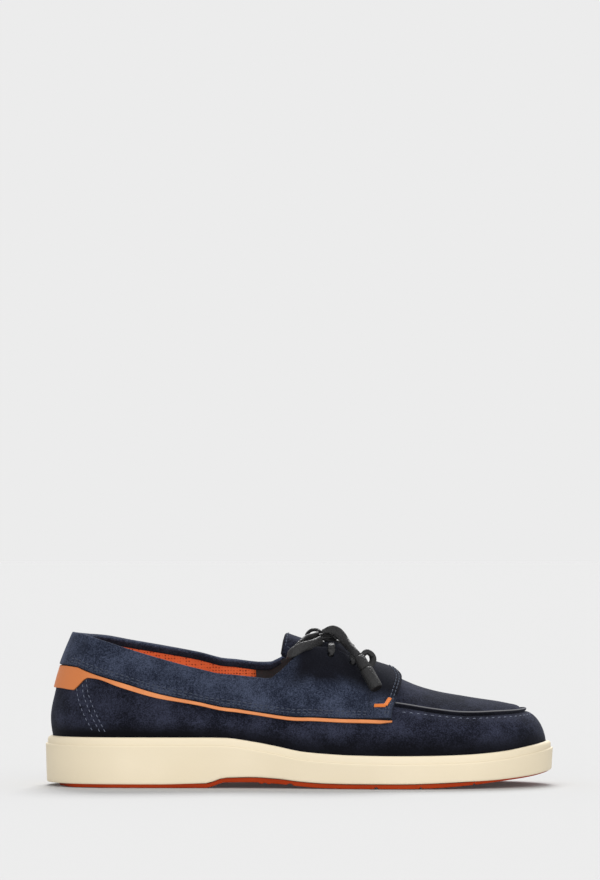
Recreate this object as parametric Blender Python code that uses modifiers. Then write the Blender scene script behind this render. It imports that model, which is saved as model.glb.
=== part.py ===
"""A boat shoe for the right foot, standing empty on its sole.

+X points to the toe, -Y is the outer (lateral) side of the foot and +Z is up. The origin lies on the
ground under the middle of the sole. The last is described by a plan outline, a set of height lines along
the shoe and the side walls between them. Every piece of the upper is taken from that one surface.
"""

import bisect
import math

import bmesh
import bpy
import numpy as np
from mathutils import Matrix, Vector

# Driving dimensions, in metres.
SOLE_LENGTH = 0.300
BALL_WIDTH = 0.106
HEEL_HEIGHT = 0.0292  # ground to the top of the sole's rim at the heel
COLLAR_RISE = 0.0595  # rim to the collar's top at the heel
INSTEP_RISE = 0.064  # rim to the crown of the instep where the tongue ends
SEAM_RISE = 0.030  # rim to the apron seam, at its highest

OUTSOLE_THICKNESS = 0.0024
ARCH_LIFT = 0.0033
TOE_SPRING = 0.0088
HEEL_SETBACK = 0.008  # how far the tread starts ahead of the heel's back
TREAD_INSET = 0.0022
TREAD_GROOVE_WIDTH = 0.0030
TREAD_GROOVE_DEPTH = 0.0011

WELT_HEIGHT = 0.0046  # the narrower band on top of the midsole
WELT_STEP = 0.0012
MIDSOLE_DRAFT = 0.0007
CUP_DEPTH = 0.0050  # rim down to the floor that the insole lies on
FEATHER_INSET = 0.0042  # sole outline to the outside of the upper
INSOLE_THICKNESS = 0.0038

UPPER_WALL = 0.0020
SADDLE_WALL = 0.0017
SADDLE_FRONT_WALL = 0.0031  # folded front edge of the saddle over the instep
STRIP_WALL = 0.0011
TONGUE_WALL = 0.0028
SEAM_WIDTH = 0.0019
SEAM_HEIGHT = 0.0026
EYELET_DIAMETER = 0.0042
LACE_WIDTH = 0.0045
LACE_THICKNESS = 0.0022
LACE_TIP_DIAMETER = 0.0081
LACE_REST = 0.0004  # how far a taut bar stands off the facing's edge
GAP = 0.0003  # clearance between pieces that meet
LASTED_GAP = 0.00045  # clearance between pieces that follow the same curved surface

EYELET_INSET = 0.0052  # edge of the facing to an eyelet's centre
TONGUE_CLEARANCE = 0.0007
SEAM_CLEARANCE = 0.0007
SEAM_TILT = 0.25  # lean of the lip away from the apron

# Places along the shoe, as shares of the sole's length.
THROAT = 0.628  # front end of the throat opening
SADDLE_FRONT = 0.676  # front edge of the saddle on the crown
SADDLE_BOW = 0.017  # how much further forward that edge runs on the sides
STRIP_END = 0.678
STRIP_SETBACK = 0.012  # the strip's top edge below the saddle's, in steps of the surface
SEAM_GAP = 0.002
EYELETS = (0.551, 0.592)
TONGUE_END = 0.466
TONGUE_FRONT = 0.655
TONGUE_END_BOW = -0.012
FACING_BLEND = (0.455, 0.510)  # stretch where the quarter turns into the instep


class Table:
    """Rows of shares under named columns, joined by a smooth line that never overshoots a row."""

    def __init__(self, columns, rows):
        self.along = [row[0] for row in rows]
        self.columns = {
            name: self.with_slopes([row[i] for row in rows])
            for i, name in enumerate(columns)
            if i
        }

    def with_slopes(self, values):
        steps = [b - a for a, b in zip(self.along, self.along[1:])]
        rates = [(b - a) / s for a, b, s in zip(values, values[1:], steps)]
        slopes = [rates[0]]
        for (a, b), (s, t) in zip(zip(rates, rates[1:]), zip(steps, steps[1:])):
            if a * b <= 0:
                slopes.append(0.0)
            else:
                slopes.append(3 * (s + t) / ((2 * t + s) / a + (t + 2 * s) / b))
        return list(zip(values, slopes + [rates[-1]]))

    def at(self, column, share):
        rows = self.columns[column]
        share = min(max(share, self.along[0]), self.along[-1])
        i = min(bisect.bisect_right(self.along, share), len(rows) - 1) - 1
        step = self.along[i + 1] - self.along[i]
        t = (share - self.along[i]) / step
        (a, m), (b, n) = rows[i], rows[i + 1]
        rise = t * t * (3 - 2 * t)
        return a + (b - a) * rise + step * t * (1 - t) * (m * (1 - t) - n * t)


# Plan outline of the sole: distance from the heel as a share of SOLE_LENGTH, and the two edges from the
# heel's middle line as shares of BALL_WIDTH.
OUTLINE = (
    ("along", "lateral", "medial"),
    (0.000, 0.000, 0.000),
    (0.027, -0.216, 0.214),
    (0.067, -0.311, 0.306),
    (0.150, -0.365, 0.354),
    (0.267, -0.378, 0.342),
    (0.417, -0.392, 0.312),
    (0.567, -0.468, 0.385),
    (0.667, -0.509, 0.465),
    (0.750, -0.505, 0.487),
    (0.833, -0.455, 0.466),
    (0.917, -0.340, 0.384),
    (0.970, -0.203, 0.271),
    (1.000, 0.040, 0.040),
)

# Heights of the sole: its rim as a share of HEEL_HEIGHT, the hollow under the arch as a share of
# ARCH_LIFT, the raised toe as a share of TOE_SPRING and the tread's share of OUTSOLE_THICKNESS.
SOLE = Table(
    ("along", "rim", "arch", "spring", "tread"),
    (
        (0.000, 1.000, 0.00, 0.00, 1.00),
        (0.317, 1.000, 0.00, 0.00, 1.00),
        (0.357, 0.993, 0.96, 0.00, 1.00),
        (0.407, 0.925, 1.00, 0.00, 1.10),
        (0.457, 0.829, 0.75, 0.00, 1.10),
        (0.503, 0.732, 0.33, 0.00, 1.00),
        (0.553, 0.686, 0.05, 0.00, 1.00),
        (0.600, 0.662, 0.00, 0.00, 1.00),
        (0.693, 0.650, 0.00, 0.00, 1.00),
        (0.750, 0.654, 0.00, 0.04, 1.00),
        (0.820, 0.671, 0.00, 0.19, 0.82),
        (0.893, 0.725, 0.00, 0.45, 0.60),
        (0.953, 0.825, 0.00, 0.69, 0.45),
        (1.000, 0.910, 0.00, 1.00, 0.35),
    ),
)

# The line where the side wall turns onto the top of the foot. From the saddle forward it is the apron
# seam. Insets from the sole's outline are shares of BALL_WIDTH, its height a share of SEAM_RISE, bulge
# the wall's swelling between rim and seam as a share of BALL_WIDTH, and round goes from 0 for a
# straight wall to 1 for a quarter ellipse.
WALL = Table(
    ("along", "lateral", "medial", "height", "bulge", "round"),
    (
        (0.000, 0.045, 0.045, 0.733, 0.014, 0.00),
        (0.150, 0.050, 0.048, 0.733, 0.012, 0.00),
        (0.267, 0.053, 0.050, 0.717, 0.010, 0.00),
        (0.367, 0.061, 0.046, 0.733, 0.008, 0.05),
        (0.447, 0.077, 0.046, 0.883, 0.006, 0.10),
        (0.507, 0.097, 0.060, 0.983, 0.005, 0.15),
        (0.557, 0.123, 0.078, 1.000, 0.004, 0.22),
        (0.600, 0.151, 0.108, 0.997, 0.003, 0.32),
        (0.627, 0.170, 0.129, 0.990, 0.003, 0.40),
        (0.667, 0.188, 0.160, 0.957, 0.003, 0.60),
        (0.693, 0.195, 0.170, 0.925, 0.003, 0.75),
        (0.757, 0.180, 0.166, 0.817, 0.003, 0.92),
        (0.813, 0.166, 0.158, 0.737, 0.003, 0.95),
        (0.893, 0.158, 0.155, 0.690, 0.002, 0.95),
        (0.947, 0.157, 0.157, 0.650, 0.001, 0.90),
        (1.000, 0.160, 0.160, 0.647, 0.000, 0.85),
    ),
)

# Crown of the instep and apron along the middle line, from the rim as a share of INSTEP_RISE, and how
# square its cross-section is.
CROWN = Table(
    ("along", "height", "square"),
    (
        (0.430, 1.090, 2.9),
        (0.479, 1.075, 2.9),
        (0.508, 1.056, 2.85),
        (0.557, 1.005, 2.7),
        (0.600, 0.905, 2.6),
        (0.627, 0.848, 2.5),
        (0.667, 0.762, 2.4),
        (0.693, 0.694, 2.35),
        (0.738, 0.603, 2.3),
        (0.777, 0.552, 2.3),
        (0.817, 0.514, 2.3),
        (0.857, 0.473, 2.3),
        (0.893, 0.433, 2.3),
        (0.911, 0.405, 2.3),
        (0.930, 0.368, 2.2),
        (0.943, 0.300, 2.0),
    ),
)

# Edge of the collar and facings: insets from the outline as shares of BALL_WIDTH, heights above the rim
# as shares of COLLAR_RISE. Bow is the wall's swelling between seam line and edge, a share of BALL_WIDTH.
COLLAR = Table(
    ("along", "lateral", "medial", "lateral_height", "medial_height", "bow"),
    (
        (0.000, 0.165, 0.165, 1.003, 1.003, 0.012),
        (0.052, 0.150, 0.150, 1.003, 1.000, 0.012),
        (0.074, 0.132, 0.132, 0.992, 0.985, 0.012),
        (0.112, 0.112, 0.108, 0.937, 0.966, 0.010),
        (0.165, 0.098, 0.092, 0.850, 0.917, 0.008),
        (0.228, 0.088, 0.074, 0.755, 0.862, 0.006),
        (0.300, 0.088, 0.060, 0.658, 0.795, 0.004),
        (0.357, 0.096, 0.056, 0.602, 0.733, 0.003),
        (0.405, 0.112, 0.060, 0.608, 0.738, 0.002),
        (0.440, 0.116, 0.088, 0.622, 0.765, 0.002),
        (0.460, 0.128, 0.119, 0.700, 0.825, 0.002),
        (0.480, 0.161, 0.146, 0.830, 0.910, 0.002),
        (0.501, 0.210, 0.185, 0.945, 0.975, 0.002),
        (0.530, 0.259, 0.229, 0.990, 1.010, 0.002),
        (0.557, 0.298, 0.267, 0.990, 1.010, 0.002),
        (0.600, 0.337, 0.303, 0.900, 0.900, 0.002),
        (0.628, 0.363, 0.323, 0.830, 0.830, 0.002),
    ),
)

# Lower edges of the saddle and of the strip under it, from the rim as shares of COLLAR_RISE.
LOWER_EDGES = Table(
    ("along", "saddle", "strip"),
    (
        (0.018, 0.694, 0.469),
        (0.049, 0.682, 0.455),
        (0.058, 0.672, 0.490),
        (0.080, 0.640, 0.575),
        (0.098, 0.613, 0.568),
        (0.149, 0.542, 0.486),
        (0.224, 0.430, 0.380),
        (0.298, 0.352, 0.314),
        (0.365, 0.293, 0.255),
        (0.406, 0.294, 0.258),
        (0.455, 0.305, 0.266),
        (0.530, 0.345, 0.304),
        (0.603, 0.347, 0.306),
        (0.690, 0.336, 0.300),
    ),
)

# Routes of the lace's free stretches in the shoe's own frame, chosen by hand, in millimetres.
LACE_ROUTES = {
    "lace_loop_near": (
        (10.6, -3.8, 87.5), (8.0, -8.2, 86.8), (3.8, -13.4, 85.7), (0.6, -18.7, 83.1),
        (-2.4, -22.0, 79.8), (-5.2, -23.8, 77.7), (-6.3, -26.1, 77.1), (-4.4, -28.3, 78.1),
        (-1.0, -28.0, 80.1), (2.4, -26.0, 82.0), (6.0, -22.4, 82.6), (10.0, -16.0, 83.8),
        (12.8, -9.0, 85.0),
    ),
    "lace_loop_far": (
        (12.6, 3.6, 89.6), (10.2, 6.4, 91.0), (6.8, 9.6, 90.6), (4.4, 13.0, 88.0),
        (5.0, 15.6, 85.4), (8.4, 14.4, 85.2), (12.0, 11.2, 85.6), (14.6, 7.8, 86.4),
    ),
    "lace_end_near": (
        (13.6, -6.4, 90.1), (17.8, -6.8, 91.1), (21.5, -8.0, 90.4), (24.6, -10.0, 87.8),
        (27.2, -13.0, 84.2), (29.7, -17.6, 81.3), (32.3, -22.3, 78.6), (34.63, -24.74, 76.27),
    ),
    "lace_end_far": (
        (25.6, -0.5, 87.4), (27.6, 3.5, 85.0), (29.3, 8.5, 82.6), (30.2, 13.0, 82.0),
        (30.8, 17.5, 81.2), (31.6, 22.0, 78.0), (32.5, 25.6, 74.8), (33.29, 28.3, 71.47),
    ),
    "lace_curl_near": (
        (36.7, -21.4, 76.5), (39.2, -20.4, 78.6), (41.9, -19.5, 77.4), (43.1, -19.6, 74.6),
        (42.4, -21.3, 72.0), (40.4, -24.0, 70.3),
    ),
}
LACE_KNOT = (17.8, -1.0, 87.5)
LACE_KNOT_RADII = (6.2, 5.2, 2.6)
LACE_TIPS = {
    "lace_tip_near": ((34.9, -25.0, 75.8), (45.3, -35.3, 57.6)),
    "lace_tip_far": ((33.5, 28.6, 71.0), (40.5, 38.8, 55.2)),
}

# Half-width of the tongue as a share of BALL_WIDTH.
TONGUE = Table(
    ("along", "half"),
    (
        (0.466, 0.215),
        (0.500, 0.222),
        (0.560, 0.200),
        (0.620, 0.165),
        (0.655, 0.130),
    ),
)


def closed_spline(points):
    """The slopes that make a smooth closed curve through the points, and its steps."""
    points = np.array(points)
    steps = np.linalg.norm(np.roll(points, -1, axis=0) - points, axis=1)
    size = len(points)
    matrix = np.zeros((size, size))
    right = np.zeros((size, 2))
    for i in range(size):
        before, after = steps[i - 1], steps[i]
        last, following = points[i - 1], points[(i + 1) % size]
        matrix[i, i - 1] += 1 / before
        matrix[i, i] += 2 / before + 2 / after
        matrix[i, (i + 1) % size] += 1 / after
        right[i] = 3 * ((points[i] - last) / before**2 + (following - points[i]) / after**2)
    return points, np.linalg.solve(matrix, right), steps


def plan_side(side):
    """A dense line of (along, across, outward x, outward y) from heel to toe on one side, in metres."""
    rows = OUTLINE[1:]
    loop = [(row[0], row[1]) for row in rows] + [(row[0], row[2]) for row in rows[-2:0:-1]]
    loop = [(along * SOLE_LENGTH, across * BALL_WIDTH) for along, across in loop]
    points, slopes, steps = closed_spline(loop)
    half = len(rows) - 1
    spans = range(half) if side == "lateral" else range(len(loop) - 1, half - 1, -1)
    line = []
    for span in spans:
        a, b = points[span], points[(span + 1) % len(loop)]
        m, n, step = slopes[span], slopes[(span + 1) % len(loop)], steps[span]
        times = np.linspace(0, 1, 25)
        if side == "medial":
            times = times[::-1]
        for t in times[bool(line) :]:
            place = (
                (2 * t**3 - 3 * t**2 + 1) * a
                + (t**3 - 2 * t**2 + t) * step * m
                + (3 * t**2 - 2 * t**3) * b
                + (t**3 - t**2) * step * n
            )
            heading = (
                6 * (t**2 - t) * (a - b) / step
                + (3 * t**2 - 4 * t + 1) * m
                + (3 * t**2 - 2 * t) * n
            )
            heading = heading / np.linalg.norm(heading)
            line.append((place[0], place[1], heading[1], -heading[0]))
    return np.array(line)


PLAN = {side: plan_side(side) for side in ("lateral", "medial")}
PLAN_MIDDLE = (PLAN["lateral"][:, 1].min() + PLAN["medial"][:, 1].max()) / 2


def outline(side, share):
    """Plan point and outward direction on the sole's outline, at this share of its length."""
    line = PLAN[side]
    along = share * SOLE_LENGTH
    values = [np.interp(along, line[:, 0], line[:, i]) for i in (1, 2, 3)]
    outward = Vector((values[1], values[2], 0)).normalized()
    return Vector((along - SOLE_LENGTH / 2, values[0] - PLAN_MIDDLE, 0)), outward


def share_of(point):
    return point.x / SOLE_LENGTH + 0.5


def at_height(point, height):
    return Vector((point.x, point.y, height))


def ground_line(share):
    """Underside of the tread."""
    return ARCH_LIFT * SOLE.at("arch", share) + TOE_SPRING * SOLE.at("spring", share)


def tread_top(share):
    return ground_line(share) + OUTSOLE_THICKNESS * SOLE.at("tread", share)


def rim(share):
    return HEEL_HEIGHT * SOLE.at("rim", share)


def blend(share, low, high):
    t = min(max((share - low) / (high - low), 0), 1)
    return t * t * (3 - 2 * t)


def inward(side, share, inset):
    """The plan point this far inside the outline."""
    point, outward = outline(side, share)
    return point - outward * inset


def wall_point(side, share, w):
    """A point on the side wall: w is 0 at the sole's rim and 1 at the seam line."""
    roundness = WALL.at("round", share)
    seam_inset = BALL_WIDTH * WALL.at(side, share)
    height = (1 - roundness) * w + roundness * math.sin(w * math.pi / 2)
    lean = (1 - roundness) * height + roundness * (1 - math.sqrt(max(1 - height**2, 0)))
    inset = FEATHER_INSET + (seam_inset - FEATHER_INSET) * lean
    inset -= BALL_WIDTH * WALL.at("bulge", share) * math.sin(math.pi * w)
    point = inward(side, share, inset)
    seam_share = share_of(inward(side, share, seam_inset))
    seam = rim(seam_share) + SEAM_RISE * WALL.at("height", seam_share)
    low = rim(share_of(point))
    return at_height(point, low + (seam - low) * height)


def crown_point(side, share, across):
    """A point on the instep or apron: across is 1 at the seam line and 0 on the middle line."""
    ends = wall_point("lateral", share, 1), wall_point("medial", share, 1)
    t = (1 - across) / 2 if side == "lateral" else (1 + across) / 2
    point = ends[0].lerp(ends[1], t)
    middle = share_of(ends[0].lerp(ends[1], 0.5))
    crown = rim(middle) + INSTEP_RISE * CROWN.at("height", middle)
    rise = max(crown - (ends[0].z + ends[1].z) / 2, 0)
    point.z += rise * (1 - across ** CROWN.at("square", middle))
    return point


def edge_across(side, share):
    """Where the throat's edge runs on the instep, from 1 at the seam line to 0 at the middle."""
    share = min(share, THROAT)
    inset = BALL_WIDTH * COLLAR.at(side, share)
    edge = inward(side, share, inset)
    ends = wall_point("lateral", share, 1), wall_point("medial", share, 1)
    middle = (ends[0].y + ends[1].y) / 2
    half = abs(ends[0].y - ends[1].y) / 2
    return min(abs(edge.y - middle) / half, 1)


def collar_point(side, share, t):
    """A point between the seam line, at 0, and the collar's edge, at 1."""
    seam_inset = BALL_WIDTH * WALL.at(side, share)
    edge_inset = BALL_WIDTH * COLLAR.at(side, share)
    edge_share = share_of(inward(side, share, edge_inset))
    edge = rim(edge_share) + COLLAR_RISE * COLLAR.at(side + "_height", edge_share)
    seam = wall_point(side, share, 1).z
    inset = seam_inset + (edge_inset - seam_inset) * t
    inset -= BALL_WIDTH * COLLAR.at("bow", share) * math.sin(math.pi * t)
    return at_height(inward(side, share, inset), seam + (edge - seam) * t)


def upper_point(side, share, w):
    """The upper's outer surface. w runs from -1 at its lower edge to 0 at the rim, 1 at the seam line,
    2 at the edge of the collar or throat and, in front of the throat, 3 on the middle line."""
    if w <= 0:
        point = inward(side, share, FEATHER_INSET)
        return at_height(point, rim(share_of(point)) + w * (CUP_DEPTH - GAP))
    if w <= 1:
        return wall_point(side, share, w)
    turned = blend(share, *FACING_BLEND)
    if turned == 0:
        return collar_point(side, share, w - 1)
    across = edge_across(side, share)
    if w > 2:
        return crown_point(side, share, across * (3 - w))
    ahead = crown_point(side, share, 1 + (across - 1) * (w - 1))
    if turned == 1:
        return ahead
    return collar_point(side, share, w - 1).lerp(ahead, turned)


def upper_normal(side, share, w, last=3):
    """Outward direction of the surface, from its neighbours a little along and across."""
    along, across = 0.004, 0.04
    ends = [min(max(share + step, 0.0015), 0.9985) for step in (-along, along)]
    rows = [min(max(w + step, 0.0 if w > 0 else -1), last) for step in (-across, across)]
    ahead = upper_point(side, ends[1], w) - upper_point(side, ends[0], w)
    if w >= 1 and share < THROAT:
        rows[1] = min(rows[1], 2)
    up = upper_point(side, share, rows[1]) - upper_point(side, share, rows[0])
    normal = ahead.cross(up)
    if side == "medial":
        normal = -normal
    return normal.normalized()


def lifted(side, share, w, lift):
    """A point this far outside the upper. Where the two sides meet they share one direction."""
    if share <= 0.0015 or share >= 0.9985 or w >= 3:
        inside = min(max(share, 0.002), 0.998)
        both = [upper_normal(s, inside, w) for s in ("lateral", "medial")]
        normal = (both[0] + both[1]).normalized()
    else:
        normal = upper_normal(side, share, w)
    return upper_point(side, share, w) + normal * lift


def w_at_height(side, share, above_rim):
    """The w at which the side reaches this height above the rim, in metres."""
    low, high = 0.0, 2.0
    for _ in range(24):
        w = (low + high) / 2
        point = upper_point(side, share, w)
        if point.z - rim(share_of(point)) < above_rim:
            low = w
        else:
            high = w
    return low


def spread(first, last, count):
    return [first + (last - first) * i / count for i in range(count + 1)]


def stations(count):
    """Shares along the shoe, close together at its round ends and where the facings rise."""
    even = [(1 - math.cos(math.pi * i / count)) / 2 for i in range(count + 1)]
    facing = spread(0.440, 0.530, 8)
    fixed = facing + [THROAT]
    kept = [share for share in even if min(abs(share - f) for f in fixed) > 0.007]
    return sorted([share for share in kept if not 0.440 < share < 0.530] + fixed)


STATIONS = stations(34)
REAR = [share for share in STATIONS if share <= THROAT]
FRONT = [share for share in STATIONS if share >= THROAT]


def around(shares):
    """(side, share) once round, from the toe's end along the lateral side, past the heel and back."""
    return [("lateral", s) for s in reversed(shares)] + [("medial", s) for s in shares]


# Meshes.


def add_grid(bm, rows, flip=False):
    """Quads between rows of points; rows that touch share points once the mesh is joined."""
    made = [[bm.verts.new(point) for point in row] for row in rows]
    for row, following in zip(made, made[1:]):
        for i in range(len(row) - 1):
            corners = [row[i], following[i], following[i + 1], row[i + 1]]
            bm.faces.new(reversed(corners) if flip else corners)


def joined(bm, name, material):
    """An object from this mesh, with its shared points made one."""
    bmesh.ops.remove_doubles(bm, verts=bm.verts, dist=1e-6)
    bmesh.ops.dissolve_degenerate(bm, dist=1e-6, edges=bm.edges)
    bmesh.ops.recalc_face_normals(bm, faces=bm.faces)
    return as_object(bm, name, material)


def as_object(bm, name, material):
    mesh = bpy.data.meshes.new(name)
    bm.to_mesh(mesh)
    bm.free()
    mesh.materials.append(material)
    mesh.shade_smooth()
    mesh.set_sharp_from_angle(angle=math.radians(35))
    made = bpy.data.objects.new(name, mesh)
    SHOE.objects.link(made)
    return made


def ring_solid(name, profile, material):
    """A closed body whose side is profile(side, share) carried round the outline, with flat floors
    from side to side between its first points and between its last points."""
    bm = bmesh.new()
    rows = [profile(side, share) for side, share in around(STATIONS)]
    add_grid(bm, rows)
    for end, flip in ((0, False), (-1, True)):
        pairs = [[profile(side, s)[end] for side in ("lateral", "medial")] for s in STATIONS]
        add_grid(bm, pairs, flip)
    return joined(bm, name, material)


def shell(name, grids, material):
    """One body from grids of (inner point, outer point): two skins and the rims between them."""
    bm = bmesh.new()
    for rows in grids:
        add_grid(bm, [[inner for inner, _ in row] for row in rows])
        add_grid(bm, [[outer for _, outer in row] for row in rows], True)
    bmesh.ops.remove_doubles(bm, verts=bm.verts, dist=1e-6)
    bmesh.ops.dissolve_degenerate(bm, dist=1e-6, edges=bm.edges)
    keys = {}
    for rows in grids:
        for row in rows:
            for inner, outer in row:
                keys[place_key(inner)] = outer
    outers = {place_key(v.co): v for v in bm.verts}
    for edge in [e for e in bm.edges if e.is_boundary]:
        a, b = edge.verts
        if place_key(a.co) not in keys or place_key(b.co) not in keys:
            continue
        c, d = outers[place_key(keys[place_key(b.co)])], outers[place_key(keys[place_key(a.co)])]
        bm.faces.new((a, b, c, d))
    return joined(bm, name, material)


def place_key(point):
    return tuple(round(value * 1e6) for value in point)


def modifier(made, kind, name, **settings):
    added = made.modifiers.new(name, kind)
    for key, value in settings.items():
        setattr(added, key, value)
    return added


def cylinder_cutter(name, place, direction):
    """A round cutter of the eyelets' size through this place."""
    bpy.ops.mesh.primitive_cylinder_add(vertices=12, radius=EYELET_DIAMETER / 2, depth=0.016)
    made = bpy.context.object
    made.name = name
    turn = Vector((0, 0, 1)).rotation_difference(direction).to_matrix().to_4x4()
    made.data.transform(Matrix.Translation(place) @ turn)
    return as_cutter(made)


def cutter_box(name, size, place):
    """A box-shaped cutter of this size, centred here."""
    bpy.ops.mesh.primitive_cube_add(size=1)
    made = bpy.context.object
    made.name = name
    made.data.transform(Matrix.Translation(place) @ Matrix.Diagonal((*size, 1)))
    return as_cutter(made)


def as_cutter(made):
    for collection in list(made.users_collection):
        collection.objects.unlink(made)
    CUTTERS.objects.link(made)
    made.hide_render = True
    made.display_type = "WIRE"
    return made


def material(name, colour, roughness):
    made = bpy.data.materials.new(name)
    made.use_nodes = True
    made.diffuse_color = (*colour, 1)
    shader = made.node_tree.nodes["Principled BSDF"]
    shader.inputs["Base Color"].default_value = (*colour, 1)
    shader.inputs["Roughness"].default_value = roughness
    return made


# Sole.


def build_outsole():
    """The tread: a thin slab with an arch, a raised toe and cross grooves."""

    def profile(side, share):
        back = (HEEL_SETBACK - TREAD_INSET) * (1 - blend(share, 0.0, 0.06))
        point = inward(side, share, TREAD_INSET + back)
        own = share_of(point)
        return [at_height(point, ground_line(own)), at_height(point, tread_top(own))]

    made = ring_solid("outsole", profile, OUTSOLE_RUBBER)
    for i, share in enumerate(TREAD_GROOVES):
        width = BALL_WIDTH * 1.2
        place = Vector(((share - 0.5) * SOLE_LENGTH, 0, ground_line(share)))
        size = (TREAD_GROOVE_WIDTH, width, 2 * TREAD_GROOVE_DEPTH)
        cutter = cutter_box(f"tread_groove_{i + 1}", size, place)
        modifier(made, "BOOLEAN", f"groove {i + 1}", operation="DIFFERENCE", object=cutter)
    return made


TREAD_GROOVES = (0.105, 0.175, 0.245, 0.482, 0.648, 0.735, 0.800)


def midsole_profile(side, share):
    """From the underside's edge up the side, over the step and the rim, and down to the cup's floor."""
    inner = FEATHER_INSET - GAP
    steps = (
        (MIDSOLE_DRAFT + 0.0009, "under", 0.0),
        (MIDSOLE_DRAFT, "under", 0.0012),
        (0.0, "welt", -0.0006),
        (0.0004, "welt", 0.0),
        (WELT_STEP, "welt", 0.0),
        (WELT_STEP, "rim", -0.0005),
        (WELT_STEP + 0.0006, "rim", 0.0),
        (inner, "rim", 0.0),
        (inner, "floor", 0.0),
    )
    points = []
    for inset, level, extra in steps:
        point = inward(side, share, inset)
        own = share_of(point)
        height = {
            "under": tread_top(own) + GAP,
            "welt": rim(own) - WELT_HEIGHT,
            "rim": rim(own),
            "floor": rim(own) - CUP_DEPTH,
        }[level]
        points.append(at_height(point, height + extra))
    return points


def build_midsole():
    return ring_solid("midsole", midsole_profile, MIDSOLE_RUBBER)


def build_insole():
    inset = FEATHER_INSET + UPPER_WALL + 2 * GAP

    def profile(side, share):
        point = inward(side, share, inset)
        soft = inward(side, share, inset + INSOLE_THICKNESS / 4)
        low = rim(share_of(point)) - CUP_DEPTH + GAP
        return [
            at_height(point, low),
            at_height(point, low + INSOLE_THICKNESS * 0.75),
            at_height(soft, low + INSOLE_THICKNESS),
        ]

    return ring_solid("insole", profile, LINING_LEATHER)


# Upper.


def build_saddle():
    """The collar panel: both quarters, the facings and a bridge over the instep ahead of the throat."""

    def pair(side, share, w):
        folded = blend(share, THROAT, SADDLE_FRONT)
        wall = SADDLE_WALL + (SADDLE_FRONT_WALL - SADDLE_WALL) * folded
        near = lifted(side, share, w, LASTED_GAP * (1 + 0.6 * folded))
        return near, lifted(side, share, w, LASTED_GAP + wall)

    def columns(side, share):
        low = w_at_height(side, share, COLLAR_RISE * LOWER_EDGES.at("saddle", share))
        return spread(low, 2.0, 7)

    grids = [[[pair(side, s, w) for w in columns(side, s)] for side, s in around(REAR)]]
    for side in ("lateral", "medial"):
        rows = []
        for step in spread(0.0, 1.0, 3):
            row = []
            low = columns(side, THROAT)[0]
            for w in columns(side, THROAT) + spread(2.0, 3.0, 3)[1:]:
                bow = SADDLE_BOW * math.sin(math.pi * (3 - w) / (3 - low)) ** 2
                share = THROAT + (SADDLE_FRONT + bow - THROAT) * step
                row.append(pair(side, share, w))
            rows.append(row)
        grids.append(rows)
    made = shell("saddle", grids, SADDLE_SUEDE)
    punch_eyelets(made)
    return made


def build_heel_strip():
    """The tab at the heel and the strip that runs from it along both sides, under the saddle's edge."""

    def column(side, share):
        top = COLLAR_RISE * LOWER_EDGES.at("saddle", share)
        low = COLLAR_RISE * LOWER_EDGES.at("strip", share)
        ends = w_at_height(side, share, low), w_at_height(side, share, top) - STRIP_SETBACK
        return [
            (lifted(side, share, w, LASTED_GAP), lifted(side, share, w, LASTED_GAP + STRIP_WALL))
            for w in spread(*ends, 2)
        ]

    shares = [share for share in STATIONS if share < STRIP_END] + [STRIP_END]
    return shell("heel_strip", [[column(side, s) for side, s in around(shares)]], STRIP_LEATHER)


def build_apron_seam():
    """The raised lip where the apron is sewn to the vamp, round the toe from saddle to saddle."""
    shares = [SADDLE_FRONT + SADDLE_BOW + SEAM_GAP] + [
        s for s in STATIONS if s > SADDLE_FRONT + SADDLE_BOW + 2 * SEAM_GAP
    ]
    rows = []
    for side, share in [("lateral", s) for s in shares] + [("medial", s) for s in shares[-2::-1]]:
        out = outline(side, share)[1]
        if share > 0.9985:
            out = Vector((1, 0, 0))
        up = (Vector((0, 0, 1)) + out * SEAM_TILT).normalized()
        base = upper_point(side, share, 1)
        base += up * SEAM_CLEARANCE
        rows.append([base + out * SEAM_WIDTH * a + up * SEAM_HEIGHT * b for a, b in SEAM_SECTION])
    return tube("apron_seam", rows, SEAM_SUEDE)


# The lip's section: outward and upward shares of its width and height.
SEAM_SECTION = (
    (0.22, 0.00),
    (0.50, 0.35),
    (0.42, 0.85),
    (0.00, 1.00),
    (-0.42, 0.85),
    (-0.50, 0.35),
    (-0.22, 0.00),
)


def eyelet(side, share):
    """Centre of an eyelet on the upper's surface, and the direction it is punched in."""
    span = (upper_point(side, share, 2) - upper_point(side, share, 1.8)).length / 0.2
    w = 2 - EYELET_INSET / span
    return upper_point(side, share, w), upper_normal(side, share, w)


def punch_eyelets(made):
    for side in ("lateral", "medial"):
        for i, share in enumerate(EYELETS):
            name = f"eyelet_{side}_{i + 1}"
            if name not in bpy.data.objects:
                cylinder_cutter(name, *eyelet(side, share))
            cutter = bpy.data.objects[name]
            modifier(made, "BOOLEAN", name, operation="DIFFERENCE", object=cutter)


def crown_normal(side, share, across):
    """Outward direction on the instep, also where the upper is cut away over the tongue."""
    step = 0.01
    ahead = crown_point(side, share + step, across) - crown_point(side, share - step, across)
    low, high = across + step, max(across - step, 0)
    up = crown_point(side, share, high) - crown_point(side, share, low)
    normal = ahead.cross(up)
    return (-normal if side == "medial" else normal).normalized()


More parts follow.
